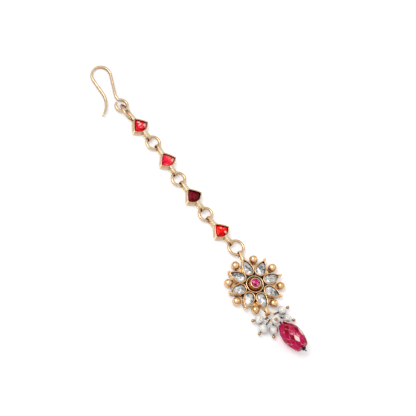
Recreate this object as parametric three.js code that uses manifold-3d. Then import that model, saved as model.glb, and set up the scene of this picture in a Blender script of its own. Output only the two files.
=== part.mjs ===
// A maang tikka laid on its back: hair hook, chain of rings and stone links, rosette pendant,
// pearl cluster and ruby drop. Millimetres, +Z up out of the surface that it lies on, +Y from the
// rosette towards the hook, origin at the middle of the rosette's flat back.

import * as THREE from 'three';
import { mergeVertices } from 'three/addons/utils/BufferGeometryUtils.js';
import Module from 'manifold-3d';

const wasm = await Module();
wasm.setup();

// Strip lugs: a flat strip bent into a U and soldered to a collet by both ends
const lugStrip = 0.4;
const lugWidth = 1.15;
const lugRootInLink = 1.5;

// Rings of the chain
const ringWire = 1.0;
const ringOuter = 5.65;
const pendantRingOuter = 6.3;
const ringPlay = 0.22;

// Oval ring between the hook and the first link
const ovalWire = 0.75;
const ovalOuterLength = 6.8;
const ovalOuterWidth = 4.3;
const ovalTilt = 43;
const ovalPlay = 0.15;

// Hook: strip section and the radii, straight runs and turns of its bends
const hookThickness = 0.8;
const hookWidth = 1.4;
const eyeRadius = 2.1;
const eyeTurn = 305;
const throatRun = 0.5;
const throatRadius = 1.0;
const throatTurn = 55;
const neckRadius = 4.5;
const neckTurn = 27;
const shankRun = 7.3;
const crookRadius = 3.45;
const crookTurn = 203;
const legRun = 5.5;
const tipRadius = 8.1;
const tipTurn = 67;

// Stone links
const linkLength = 6.0;
const linkWidth = 6.7;
const linkHeight = 3.0;
const linkLugReach = 3.72;
const linkWall = 0.45;
const linkFloor = 0.7;
const linkStoneSink = 0.2;

// Rosette pendant
const petalCount = 8;
const plateDiameter = 17.0;
const plateThickness = 0.6;
const petalInner = 3.45;
const petalPastPlate = 2.25;
const petalTip = plateDiameter / 2 + petalPastPlate;
const petalWidth = 4.2;
const petalHeight = 2.6;
const petalWall = 0.42;
const petalPinch = 0.7;
const petalPinchLength = 1.1;
const petalFlankFullness = 0.95;
const petalFlankRise = 0.525;
const petalFloor = 0.8;
const petalStoneSink = 0.15;
const ballDiameter = 3.15;
const ballPastPlate = 0.97;
const ballCircle = plateDiameter + 2 * ballPastPlate;
const rosetteTopLugReach = 2.65;
const rosetteFootLugReach = 1.6;

// Hub of the rosette and its stone
const hubDiameter = 6.5;
const hubHeight = 2.3;
const hubGroove = 5.7;
const hubGrooveDepth = 0.9;
const hubScallops = 14;
const hubScallopDepth = 0.14;
const hubEdge = 0.12;
const hubEdgeHeight = 0.2;
const cupFoot = 5.1;
const cupMouth = 3.7;
const cupHeight = 3.5;
const cupWall = 0.3;
const cupSeatDepth = 1.4;
const centreStoneRise = 0.25;

// Gap left round each stone in its seat
const stoneGap = 0.08;

// Pearl cluster
const clusterWire = 0.5;
const clusterOuter = 4.1;
const clusterTilt = 18;
const clusterPlay = 0.2;
const pinWire = 0.32;
const pinLoopOuter = 1.44;
const pinHead = 1.25;
const pearlDiameter = 3.5;
const pearlBore = 0.56;
const beadGap = 0.1;

// Ruby drop
const dropLength = 11.3;
const dropWidth = 7.4;
const dropSides = 10;
const dropHeadFullness = 0.75;
const dropFootFullness = 0.45;
const dropBore = 0.6;
const dropBareWire = 2.2;
const endBeadDiameter = 1.6;
const endBeadLength = 1.2;
const dropPinHead = 0.6;

// Where the chain runs, worked up from the pendant. Each row is a ring and the link above it:
// the heading from the lower lug to the ring's middle, from there to the upper lug, and the link's own.
// Headings are in degrees from +Y towards +X.
const rosetteHeading = 15;
const chainRoute = [
  { ringIn: 7, ringOut: -14, link: -4 },
  { ringIn: 8, ringOut: 3, link: 0 },
  { ringIn: 5, ringOut: 2, link: 6 },
  { ringIn: -3, ringOut: -9, link: -1 },
];
const ovalHeading = 0;
const hookHeading = 1;
const clusterHeading = 174;

// Pearls by the place of their pin on the cluster ring, the way that the pin points, how far it
// climbs where the pearl stands clear of the surface, and bare wire as a share of the pearl.
const pearlRows = [
  { onRing: 156, points: 156, climbs: null, bare: 0.07 },
  { onRing: 198, points: 196, climbs: null, bare: 0.32 },
  { onRing: 240, points: 236, climbs: null, bare: 0.16 },
  { onRing: 267, points: 201, climbs: 69, bare: 0.04 },
  { onRing: 356, points: 354, climbs: null, bare: 0.14 },
  { onRing: 317, points: 317, climbs: null, bare: 0.41 },
];
const dropOnRing = 296;
const dropPoints = 269.5;

// Fineness of the round shapes
const ringSteps = 16;
const wireSides = 6;
const pinSteps = 12;
const ballSides = 12;
const ballRows = 8;
const lugSteps = 6;
const bendStep = 15;
const flankSteps = 3;
const bellySteps = 5;
const petalRoundSteps = 9;
const petalFlankSteps = 4;
const hubSides = 28;
const roundStoneSides = 12;
const plateSides = 32;
const scallopSteps = 4;
const ovalSteps = 20;
const headSides = 10;
const headRows = 6;
const stoneFlankSteps = 2;
const stoneBellySteps = 3;

// Hidden lengths: a join's depth, how far a cut runs past its face, and the hair's breadth between
// the oval ring and the surface
const hiddenJoin = 0.3;
const overcut = 1;
const restGap = 0.01;
const sameVertex = 1e-4;

// Stone link's outline as shares of its width and length, down one side from tip to foot
const linkShape = {
  tip: { across: 0, along: 0.5 },
  flank: { across: 0.3, along: 0.22 },
  side: { across: 0.5, along: -0.17 },
  bellyOut: { across: 0.4, along: -0.29 },
  bellyIn: { across: 0.26, along: -0.5 },
  foot: { across: 0, along: -0.5 },
};

// Cut of the collet stones: outline as a share of the girdle, height as a share of the stone's
const colletCut = [
  { outline: 0.45, height: 0 },
  { outline: 1, height: 0.6 },
  { outline: 1, height: 0.72 },
  { outline: 0.62, height: 1 },
];

// Colours, roughness and metalness
const finishes = {
  gold: new THREE.MeshStandardMaterial({ color: '#d9b27a', roughness: 0.3, metalness: 1 }),
  deepGold: new THREE.MeshStandardMaterial({ color: '#c98f42', roughness: 0.32, metalness: 1 }),
  darkMetal: new THREE.MeshStandardMaterial({ color: '#3a3633', roughness: 0.45, metalness: 1 }),
  clear: new THREE.MeshStandardMaterial({ color: '#cfd2d0', roughness: 0.12, metalness: 0 }),
  pearl: new THREE.MeshStandardMaterial({ color: '#efece6', roughness: 0.3, metalness: 0 }),
  ruby: new THREE.MeshStandardMaterial({ color: '#b3123f', roughness: 0.15, metalness: 0 }),
  magenta: new THREE.MeshStandardMaterial({ color: '#c2126a', roughness: 0.1, metalness: 0 }),
};
const linkStoneColours = ['#e01228', '#e3123f', '#5e0718', '#e60d0d'];

const tikka = new THREE.Group();

const radians = THREE.MathUtils.degToRad;

function addPiece(parent, name, shape, material) {
  const geometry = shape.isBufferGeometry ? shape : geometryOf(shape);
  const piece = new THREE.Mesh(geometry, material);
  piece.name = name;
  parent.add(piece);
  return piece;
}

// Unit step in the surface for a heading in degrees from +Y towards +X
function along(heading) {
  return new THREE.Vector3(Math.sin(radians(heading)), Math.cos(radians(heading)), 0);
}

// A group laid at a place, with its own +Y turned to a heading
function layGroup(place, heading) {
  const group = new THREE.Group();
  group.position.copy(place);
  group.rotation.z = -radians(heading);
  tikka.add(group);
  return group;
}

// Closed solids and the joins and cuts between them

function mergedGeometry(geometry) {
  const bare = geometry.clone();
  bare.deleteAttribute('normal');
  bare.deleteAttribute('uv');
  const merged = mergeVertices(bare, sameVertex);
  const corners = merged.index.array;
  const kept = [];
  for (let i = 0; i < corners.length; i += 3) {
    const [a, b, c] = [corners[i], corners[i + 1], corners[i + 2]];
    if (a !== b && b !== c && c !== a) {
      kept.push(a, b, c);
    }
  }
  merged.setIndex(kept);
  return merged;
}

function solidOf(geometry) {
  const merged = mergedGeometry(geometry);
  return new wasm.Manifold(new wasm.Mesh({
    numProp: 3,
    vertProperties: new Float32Array(merged.attributes.position.array),
    triVerts: new Uint32Array(merged.index.array),
  }));
}

function geometryOf(solid) {
  const mesh = solid.getMesh();
  const geometry = new THREE.BufferGeometry();
  geometry.setAttribute('position', new THREE.BufferAttribute(mesh.vertProperties, 3));
  geometry.setIndex(new THREE.BufferAttribute(mesh.triVerts, 1));
  geometry.computeVertexNormals();
  return geometry;
}

function joined(solids) {
  return solids.reduce((whole, next) => whole.add(next));
}

// Lofts and sweeps

function signedVolume(points, corners) {
  let volume = 0;
  for (let i = 0; i < corners.length; i += 3) {
    const [a, b, c] = [points[corners[i]], points[corners[i + 1]], points[corners[i + 2]]];
    volume += a.dot(b.clone().cross(c));
  }
  return volume;
}

// Skin over a row of sections with equal counts of points, capped at its ends or closed on itself.
// The quads of a slanted band are split along their other diagonal.
function loft(sections, closed = false, slanted = () => false) {
  const count = sections[0].length;
  const points = sections.flat();
  const corners = [];
  const bands = closed ? sections.length : sections.length - 1;
  for (let i = 0; i < bands; i += 1) {
    const low = i * count;
    const high = ((i + 1) % sections.length) * count;
    for (let j = 0; j < count; j += 1) {
      const next = (j + 1) % count;
      if (slanted(i)) {
        corners.push(low + j, low + next, high + j);
        corners.push(low + next, high + next, high + j);
      } else {
        corners.push(low + j, low + next, high + next);
        corners.push(low + j, high + next, high + j);
      }
    }
  }
  if (!closed) {
    for (const [first, turn] of [[0, 1], [(sections.length - 1) * count, 0]]) {
      const middle = new THREE.Vector3();
      for (let j = 0; j < count; j += 1) {
        middle.addScaledVector(points[first + j], 1 / count);
      }
      points.push(middle);
      for (let j = 0; j < count; j += 1) {
        const pair = [first + j, first + (j + 1) % count];
        corners.push(points.length - 1, pair[turn], pair[1 - turn]);
      }
    }
  }
  if (signedVolume(points, corners) < 0) {
    corners.reverse();
  }
  const geometry = new THREE.BufferGeometry().setFromPoints(points);
  geometry.setIndex(corners);
  geometry.computeVertexNormals();
  return geometry;
}

// Round wire closed into an oval ring that lies in its own XY plane
function wireRing(halfWidth, halfLength, wire, steps = ringSteps) {
  const sections = [];
  for (let i = 0; i < steps; i += 1) {
    const angle = (2 * Math.PI * i) / steps;
    const centre = new THREE.Vector3(halfWidth * Math.cos(angle), halfLength * Math.sin(angle), 0);
    const out = new THREE.Vector3(halfLength * Math.cos(angle), halfWidth * Math.sin(angle), 0);
    out.normalize();
    const section = [];
    for (let j = 0; j < wireSides; j += 1) {
      const roll = (2 * Math.PI * j) / wireSides;
      const point = centre.clone().addScaledVector(out, (Math.cos(roll) * wire) / 2);
      point.z = (Math.sin(roll) * wire) / 2;
      section.push(point);
    }
    sections.push(section);
  }
  return loft(sections, true);
}

// Outlines in the surface's plane

// Outline moved inwards by a wall, keeping its corners sharp
function inset(outline, wall) {
  const count = outline.length;
  const turn = THREE.ShapeUtils.isClockWise(outline) ? -1 : 1;
  return outline.map((point, i) => {
    const before = outline[(i + count - 1) % count];
    const after = outline[(i + 1) % count];
    const entering = point.clone().sub(before).normalize();
    const leaving = after.clone().sub(point).normalize();
    const a = new THREE.Vector2(-entering.y, entering.x).multiplyScalar(turn);
    const b = new THREE.Vector2(-leaving.y, leaving.x).multiplyScalar(turn);
    const shift = a.clone().add(b).multiplyScalar(wall / (1 + a.dot(b)));
    return point.clone().add(shift);
  });
}

function centreOf(outline) {
  const centre = new THREE.Vector2();
  for (const point of outline) {
    centre.addScaledVector(point, 1 / outline.length);
  }
  return centre;
}

function prism(outline, bottom, top) {
  const levels = [bottom, top];
  return loft(levels.map((z) => outline.map((point) => new THREE.Vector3(point.x, point.y, z))));
}

// Faceted stone over an outline: pavilion, girdle, crown and a flat table
function cutStone(outline, bottom, top, cut) {
  const centre = centreOf(outline);
  return loft(cut.map((row) => outline.map((point) => new THREE.Vector3(
    centre.x + (point.x - centre.x) * row.outline,
    centre.y + (point.y - centre.y) * row.outline,
    bottom + (top - bottom) * row.height,
  ))));
}

// Lugs

// U of strip that stands on edge along +Y, from behind its root at y = 0 out to its reach
function lug(root, reach, height) {
  const outer = height / 2;
  const inner = outer - lugStrip;
  const bend = reach - outer;
  const profile = new THREE.Shape();
  profile.moveTo(-root, 0);
  profile.lineTo(bend, 0);
  profile.absarc(bend, outer, outer, -Math.PI / 2, Math.PI / 2, false);
  profile.lineTo(-root, height);
  profile.lineTo(-root, height - lugStrip);
  profile.lineTo(bend, height - lugStrip);
  profile.absarc(bend, outer, inner, Math.PI / 2, -Math.PI / 2, true);
  profile.lineTo(-root, lugStrip);
  profile.closePath();
  const geometry = new THREE.ExtrudeGeometry(profile, {
    depth: lugWidth, bevelEnabled: false, curveSegments: lugSteps,
  });
  geometry.translate(0, 0, -lugWidth / 2);
  const standing = new THREE.Matrix4().makeBasis(
    new THREE.Vector3(0, 1, 0), new THREE.Vector3(0, 0, 1), new THREE.Vector3(1, 0, 0),
  );
  geometry.applyMatrix4(standing);
  return geometry;
}

// How far in from a lug's end the middle of a wire lies, when it is pulled into the bend
function wireSeat(height, wire, play, wireHeight) {
  const inner = height / 2 - lugStrip;
  const room = inner - wire / 2 - play;
  const drop = height / 2 - wireHeight;
  return lugStrip + inner - Math.sqrt(Math.max(room * room - drop * drop, 0));
}

// Stone links

function linkOutline(flankPoints, bellyPoints) {
  const at = (name) => [linkShape[name].across * linkWidth, linkShape[name].along * linkLength];
  const mirrored = (name) => [-at(name)[0], at(name)[1]];
  const path = new THREE.Path();
  const points = [];
  path.moveTo(...at('tip'));
  path.quadraticCurveTo(...at('flank'), ...at('side'));
  points.push(...path.getPoints(flankPoints));
  const belly = new THREE.Path();
  belly.moveTo(...at('side'));
  belly.bezierCurveTo(...at('bellyOut'), ...at('bellyIn'), ...at('foot'));
  points.push(...belly.getPoints(bellyPoints).slice(1));
  const rising = new THREE.Path();
  rising.moveTo(...at('foot'));
  rising.bezierCurveTo(...mirrored('bellyIn'), ...mirrored('bellyOut'), ...mirrored('side'));
  points.push(...rising.getPoints(bellyPoints).slice(1));
  const home = new THREE.Path();
  home.moveTo(...mirrored('side'));
  home.quadraticCurveTo(...mirrored('flank'), ...at('tip'));
  points.push(...home.getPoints(flankPoints).slice(1, -1));
  return points;
}

const linkHalf = linkLength / 2;

function linkSetting() {
  const outline = linkOutline(flankSteps, bellySteps);
  const topLug = lug(lugRootInLink, linkLugReach, linkHeight).translate(0, linkHalf, 0);
  const footLug = lug(hiddenJoin, linkLugReach, linkHeight).rotateZ(Math.PI)
    .translate(0, -linkHalf, 0);
  const seat = prism(inset(outline, linkWall), linkFloor, linkHeight + overcut);
  return joined([solidOf(prism(outline, 0, linkHeight)), solidOf(topLug), solidOf(footLug)])
    .subtract(solidOf(seat));
}

function linkStone() {
  const outline = inset(linkOutline(stoneFlankSteps, stoneBellySteps), linkWall + stoneGap);
  return cutStone(outline, linkFloor + stoneGap, linkHeight - linkStoneSink, colletCut);
}

// Rosette

function petalOutline(widening = 0, tipTrim = 0) {
  const round = petalWidth / 2 - widening;
  const roundAt = petalInner + petalWidth / 2;
  const pinch = Math.max(petalPinch / 2 - widening, 0);
  const tip = petalTip - tipTrim;
  const shoulder = petalTip - petalPinchLength;
  const points = [];
  for (let i = 0; i <= petalRoundSteps; i += 1) {
    const angle = Math.PI * (1 + i / petalRoundSteps);
    points.push(new THREE.Vector2(round * Math.cos(angle), roundAt + round * Math.sin(angle)));
  }
  const flank = new THREE.QuadraticBezierCurve(
    new THREE.Vector2(round, roundAt),
    new THREE.Vector2(round * petalFlankFullness, (roundAt + shoulder) / 2 + petalFlankRise),
    new THREE.Vector2(pinch, tipTrim > petalPinchLength ? tip : shoulder),
  );
  const rising = flank.getPoints(petalFlankSteps).slice(1);
  points.push(...rising);
  if (tipTrim < petalPinchLength) {
    points.push(new THREE.Vector2(pinch, tip), new THREE.Vector2(-pinch, tip));
  }
  points.push(...rising.slice(0, pinch > 0 ? rising.length : -1).reverse()
    .map((point) => new THREE.Vector2(-point.x, point.y)));
  return points;
}

const petalStoneTrim = petalPinchLength + petalWall;

function petalShell() {
  return solidOf(prism(petalOutline(), 0, petalHeight));
}

function petalSeat() {
  return solidOf(prism(petalOutline(petalWall, petalStoneTrim), petalFloor, petalHeight + overcut));
}

function petalStone() {
  const outline = petalOutline(petalWall + stoneGap, petalStoneTrim + 2 * stoneGap);
  return cutStone(outline, petalFloor + stoneGap, petalHeight - petalStoneSink, colletCut);
}

function hub() {
  const rim = hubDiameter / 2;
  const profile = [
    [0, 0],
    [rim, 0],
    [rim, hubHeight - hubEdgeHeight],
    [rim - hubEdge, hubHeight],
    [hubGroove / 2, hubHeight],
    [hubGroove / 2 - hubEdge, hubHeight - hubGrooveDepth],
    [cupFoot / 2, hubHeight - hubGrooveDepth],
    [cupMouth / 2, cupHeight],
    [cupMouth / 2 - cupWall, cupHeight],
    [cupMouth / 2 - cupWall, cupHeight - cupSeatDepth],
    [0, cupHeight - cupSeatDepth],
  ];
  const points = profile.map(([radius, z]) => new THREE.Vector2(radius, z));
  const turned = new THREE.LatheGeometry(points, hubSides).rotateX(Math.PI / 2);
  const skirt = [];
  const skirtSteps = hubScallops * scallopSteps;
  for (let i = 0; i < skirtSteps; i += 1) {
    const angle = (2 * Math.PI * i) / skirtSteps;
    const radius = rim + (hubScallopDepth * (1 + Math.cos(hubScallops * angle))) / 2;
    skirt.push(new THREE.Vector2(radius * Math.cos(angle), radius * Math.sin(angle)));
  }
  return joined([solidOf(turned), solidOf(prism(skirt, 0, hubHeight - hubGrooveDepth / 2))]);
}

function around(index, count, solid) {
  return solid.rotate([0, 0, (360 * index) / count]);
}

function rosetteSetting() {
  const plateRadius = plateDiameter / 2;
  const plate = new THREE.CylinderGeometry(plateRadius, plateRadius, plateThickness, plateSides);
  plate.rotateX(Math.PI / 2).translate(0, 0, plateThickness / 2);
  const ball = new THREE.SphereGeometry(ballDiameter / 2, ballSides, ballRows);
  ball.rotateX(Math.PI / 2).translate(0, ballCircle / 2, ballDiameter / 2);
  const shell = petalShell();
  const seat = petalSeat();
  const solids = [solidOf(plate), hub()];
  const seats = [];
  for (let i = 0; i < petalCount; i += 1) {
    solids.push(around(i, petalCount, shell));
    solids.push(around(i + 0.5, petalCount, solidOf(ball)));
    seats.push(around(i, petalCount, seat));
  }
  const topLug = lug(petalPinchLength, rosetteTopLugReach, petalHeight).translate(0, petalTip, 0);
  const footLug = lug(petalPinchLength, rosetteFootLugReach, petalHeight).rotateZ(Math.PI)
    .translate(0, -petalTip, 0);
  solids.push(solidOf(topLug), solidOf(footLug));
  return joined(solids).subtract(joined(seats));
}

function centreStone() {
  const radius = cupMouth / 2 - cupWall - stoneGap;
  const outline = [];
  for (let i = 0; i < roundStoneSides; i += 1) {
    const angle = (2 * Math.PI * i) / roundStoneSides;
    outline.push(new THREE.Vector2(radius * Math.cos(angle), radius * Math.sin(angle)));
  }
  const bottom = cupHeight - cupSeatDepth + stoneGap;
  return cutStone(outline, bottom, cupHeight + centreStoneRise, colletCut);
}

// Hook, bent in the plane of the surface from the free end of its eye to its tip

const hookBends = [
  { radius: eyeRadius, turn: eyeTurn },
  { run: throatRun },
  { radius: throatRadius, turn: -throatTurn },
  { radius: neckRadius, turn: -neckTurn },
  { run: shankRun },
  { radius: crookRadius, turn: crookTurn },
  { run: legRun },
  { radius: tipRadius, turn: -tipTurn },
];

// Places and directions along the strip's middle, with the eye's middle at the origin
function hookRoute() {
  const leavesEyeAt = throatTurn;
  let direction = radians(leavesEyeAt + 90 - eyeTurn);
  const start = radians(leavesEyeAt - eyeTurn);
  let place = new THREE.Vector2(eyeRadius * Math.cos(start), eyeRadius * Math.sin(start));
  const route = [{ place: place.clone(), direction }];
  for (const bend of hookBends) {
    const steps = bend.run ? 1 : Math.ceil(Math.abs(bend.turn) / bendStep);
    const step = bend.run ? 0 : radians(bend.turn) / steps;
    const chord = bend.run ?? 2 * bend.radius * Math.sin(Math.abs(step) / 2);
    for (let i = 0; i < steps; i += 1) {
      const middle = direction + step / 2;
      const ahead = new THREE.Vector2(Math.cos(middle), Math.sin(middle));
      place = place.clone().addScaledVector(ahead, chord);
      direction += step;
      route.push({ place, direction });
    }
  }
  return route;
}

function hookStrip(route) {
  return loft(route.map(({ place, direction }) => {
    const side = new THREE.Vector2(-Math.sin(direction), Math.cos(direction));
    const left = place.clone().addScaledVector(side, hookThickness / 2);
    const right = place.clone().addScaledVector(side, -hookThickness / 2);
    return [
      new THREE.Vector3(left.x, left.y, -hookWidth / 2),
      new THREE.Vector3(right.x, right.y, -hookWidth / 2),
      new THREE.Vector3(right.x, right.y, hookWidth / 2),
      new THREE.Vector3(left.x, left.y, hookWidth / 2),
    ];
  }));
}

// Pins, pearls and the drop. Each lies along its own +Y, with its loop round the origin.

const pinLoopRadius = (pinLoopOuter - pinWire) / 2;

function headpin(length, headDiameter) {
  const loop = new THREE.TorusGeometry(pinLoopRadius, pinWire / 2, wireSides, pinSteps);
  const shankLength = length - pinLoopRadius;
  const shank = new THREE.CylinderGeometry(pinWire / 2, pinWire / 2, shankLength, wireSides);
  shank.translate(0, pinLoopRadius + shankLength / 2, 0);
  const head = new THREE.SphereGeometry(headDiameter / 2, headSides, headRows);
  head.translate(0, length, 0);
  return joined([solidOf(loop), solidOf(shank), solidOf(head)]);
}

// Round bead turned about +Y, drilled from end to end
function drilledBead(diameter, length, bore, sides, rows) {
  const boreAngle = Math.asin(bore / diameter);
  const profile = [];
  for (let i = 0; i <= rows; i += 1) {
    const angle = boreAngle + ((Math.PI - 2 * boreAngle) * i) / rows;
    profile.push(new THREE.Vector2((diameter / 2) * Math.sin(angle), (-length / 2) * Math.cos(angle)));
  }
  profile.push(profile[0].clone());
  return mergedGeometry(new THREE.LatheGeometry(profile, sides));
}

// Oval bead of diamond facets: each row of corners is turned half a facet from the next
function facetedDrop() {
  const rows = dropSides / 2 - 1;
  const ringOf = (radius, y, turn) => {
    const section = [];
    for (let i = 0; i < dropSides; i += 1) {
      const angle = (2 * Math.PI * (i + turn)) / dropSides;
      section.push(new THREE.Vector3(radius * Math.cos(angle), y, radius * Math.sin(angle)));
    }
    return section;
  };
  const sections = [];
  for (let row = -rows; row <= rows; row += 1) {
    const fullness = row < 0 ? dropHeadFullness : dropFootFullness;
    const radius = (dropWidth / 2) * Math.cos((Math.PI * row) / dropSides) ** fullness;
    sections.push(ringOf(radius, (row * dropLength) / (2 * rows), ((row + rows) % 2) / 2));
  }
  sections.push(ringOf(dropBore / 2, dropLength / 2, 0));
  sections.push(ringOf(dropBore / 2, -dropLength / 2, 0));
  return loft(sections, true, (band) => band < 2 * rows && band % 2 === 0);
}

// The chain, laid link by link from the rosette up to the hook

const ringHeight = petalHeight / 2;
const origin = new THREE.Vector3();

const rosette = layGroup(origin, rosetteHeading);
addPiece(rosette, 'rosette_setting', rosetteSetting(), finishes.deepGold);
const petalGeometry = petalStone();
for (let i = 0; i < petalCount; i += 1) {
  const stone = addPiece(rosette, `petal_stone_${i + 1}`, petalGeometry, finishes.clear);
  stone.rotation.z = (-2 * Math.PI * i) / petalCount;
}
addPiece(rosette, 'centre_stone', centreStone(), finishes.magenta);

const linkSeat = wireSeat(linkHeight, ringWire, ringPlay, ringHeight);
const linkSpan = linkHalf + linkLugReach - linkSeat;
const rosetteSeat = wireSeat(petalHeight, ringWire, ringPlay, ringHeight);
let end = along(rosetteHeading).multiplyScalar(petalTip + rosetteTopLugReach - rosetteSeat);
let topLink = null;
const linkGeometry = geometryOf(linkSetting());
const linkStoneGeometry = linkStone();
chainRoute.forEach((row, i) => {
  const fromHook = chainRoute.length - i;
  const outer = i === 0 ? pendantRingOuter : ringOuter;
  const radius = (outer - ringWire) / 2;
  const ringCentre = end.clone().addScaledVector(along(row.ringIn), radius);
  const ringShape = wireRing(radius, radius, ringWire);
  const ring = addPiece(tikka, `ring_${fromHook + 1}`, ringShape, finishes.gold);
  ring.position.set(ringCentre.x, ringCentre.y, ringHeight);
  const linkCentre = ringCentre.clone()
    .addScaledVector(along(row.ringOut), radius)
    .addScaledVector(along(row.link), linkSpan);
  topLink = layGroup(linkCentre, row.link);
  addPiece(topLink, `link_setting_${fromHook}`, linkGeometry, finishes.gold);
  const colour = new THREE.Color(linkStoneColours[fromHook - 1]);
  const material = new THREE.MeshStandardMaterial({ color: colour, roughness: 0.1, metalness: 0 });
  addPiece(topLink, `link_stone_${fromHook}`, linkStoneGeometry, material);
  end = linkCentre.clone().addScaledVector(along(row.link), linkSpan);
});

// The oval ring slides down the first link's lug until it meets the collet's tip
const ovalHalfLength = (ovalOuterLength - ovalWire) / 2;
const ovalHalfWidth = (ovalOuterWidth - ovalWire) / 2;
const ovalHeight = ovalHalfWidth * Math.sin(radians(ovalTilt)) + ovalWire / 2 + restGap;
const firstLinkHeading = chainRoute[chainRoute.length - 1].link;
const ovalFoot = topLink.position.clone()
  .addScaledVector(along(firstLinkHeading), linkHalf + ovalPlay + ovalWire / 2);
const ovalCentre = ovalFoot.clone().addScaledVector(along(ovalHeading), ovalHalfLength);
ovalCentre.z = ovalHeight;
const ovalPlace = layGroup(ovalCentre, ovalHeading);
const ovalShape = wireRing(ovalHalfWidth, ovalHalfLength, ovalWire, ovalSteps);
const oval = addPiece(ovalPlace, 'ring_1', ovalShape, finishes.gold);
oval.rotation.y = radians(ovalTilt);

// The hook's eye holds the oval ring's far end, and its crook comes down to the surface
const route = hookRoute();
const crookReach = Math.max(...route.map(({ place }) => place.y)) + hookThickness / 2;
const lugEnd = linkHalf + linkLugReach;
const eyeFromLink = lugEnd + ringPlay + hookThickness / 2 + eyeRadius;
const eyeCentre = topLink.position.clone().addScaledVector(along(firstLinkHeading), eyeFromLink);
eyeCentre.z = ovalHeight;
const hookPlace = layGroup(eyeCentre, hookHeading);
const hook = addPiece(hookPlace, 'hook', hookStrip(route), finishes.gold);
hook.rotation.x = -Math.asin((ovalHeight - hookWidth / 2) / crookReach);

// The cluster ring hangs on the rosette's foot lug and climbs away from it
const clusterRadius = (clusterOuter - clusterWire) / 2;
const footSeat = wireSeat(petalHeight, clusterWire, clusterPlay, ringHeight);
const footEnd = along(rosetteHeading + 180)
  .multiplyScalar(petalTip + rosetteFootLugReach - footSeat);
const clusterSpan = clusterRadius * Math.cos(radians(clusterTilt));
const clusterCentre = footEnd.clone().addScaledVector(along(clusterHeading), clusterSpan);
clusterCentre.z = ringHeight + clusterRadius * Math.sin(radians(clusterTilt));
const clusterPlace = layGroup(clusterCentre, clusterHeading - 180);
const clusterRing = addPiece(
  clusterPlace, 'cluster_ring', wireRing(clusterRadius, clusterRadius, clusterWire), finishes.deepGold,
);
clusterRing.rotation.x = -radians(clusterTilt);
clusterRing.updateWorldMatrix(true, false);

// A group on the cluster ring whose +Y points along a pin and whose +Z runs with the ring's wire
function pinPlace(onRing, points, climb) {
  const angle = radians(onRing);
  const place = new THREE.Vector3(Math.cos(angle), Math.sin(angle), 0).multiplyScalar(clusterRadius);
  const wireRuns = new THREE.Vector3(-Math.sin(angle), Math.cos(angle), 0);
  clusterRing.localToWorld(place);
  wireRuns.transformDirection(clusterRing.matrixWorld);
  const way = new THREE.Vector3(Math.cos(radians(points)), Math.sin(radians(points)), 0);
  const rise = climb(place.z);
  way.multiplyScalar(Math.sqrt(1 - rise * rise)).setZ(rise);
  wireRuns.addScaledVector(way, -wireRuns.dot(way)).normalize();
  const across = way.clone().cross(wireRuns);
  const group = new THREE.Group();
  group.applyMatrix4(new THREE.Matrix4().makeBasis(across, way, wireRuns).setPosition(place));
  tikka.add(group);
  return group;
}

pearlRows.forEach((row, i) => {
  const radius = pearlDiameter / 2;
  const toPearl = pinLoopOuter / 2 + beadGap + radius + row.bare * pearlDiameter;
  const climb = (loopHeight) => (row.climbs === null
    ? (radius - loopHeight) / toPearl
    : Math.sin(radians(row.climbs)));
  const group = pinPlace(row.onRing, row.points, climb);
  const pinLength = toPearl + radius + beadGap + pinHead / 2;
  addPiece(group, `pearl_pin_${i + 1}`, headpin(pinLength, pinHead), finishes.gold);
  const bead = drilledBead(pearlDiameter, pearlDiameter, pearlBore, ballSides, ballRows);
  const pearl = addPiece(group, `pearl_${i + 1}`, bead, finishes.pearl);
  pearl.position.y = toPearl;
});

// The drop's pin climbs from the cluster ring until the bead lies on its belly
const toDrop = pinLoopOuter / 2 + dropBareWire + dropLength / 2;
function dropClimb(loopHeight) {
  const [a, b] = [dropLength / 2, dropWidth / 2];
  const square = toDrop * toDrop - a * a + b * b;
  const half = loopHeight * toDrop;
  const rest = loopHeight * loopHeight - b * b;
  return (-half + Math.sqrt(half * half - square * rest)) / square;
}
const dropPlace = pinPlace(dropOnRing, dropPoints, dropClimb);
const drop = addPiece(dropPlace, 'drop_bead', facetedDrop(), finishes.ruby);
drop.position.y = toDrop;
const endBeadAt = toDrop + dropLength / 2 + beadGap + endBeadLength / 2;
const endBeadShape = drilledBead(endBeadDiameter, endBeadLength, dropBore, headSides, headRows);
const endBead = addPiece(dropPlace, 'end_bead', endBeadShape, finishes.darkMetal);
endBead.position.y = endBeadAt;
const dropPinLength = endBeadAt + endBeadLength / 2 + beadGap + dropPinHead / 2;
addPiece(dropPlace, 'drop_pin', headpin(dropPinLength, dropPinHead), finishes.darkMetal);

export default tikka;
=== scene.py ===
"""Dressed model of a maang tikka that lies on a pale table, seen from above.

A gilt hair hook, a chain of jump rings and stone-set links, a petal rosette, a cluster of pearls and a
faceted ruby drop. Sizes are in millimetres and the finished pieces in metres, in the frame of the solids.
"""

import logging
import math
from dataclasses import dataclass, field
from enum import Enum
from typing import Callable, Sequence

import bmesh
import bpy
import numpy as np
from mathutils import Matrix, Vector


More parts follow.
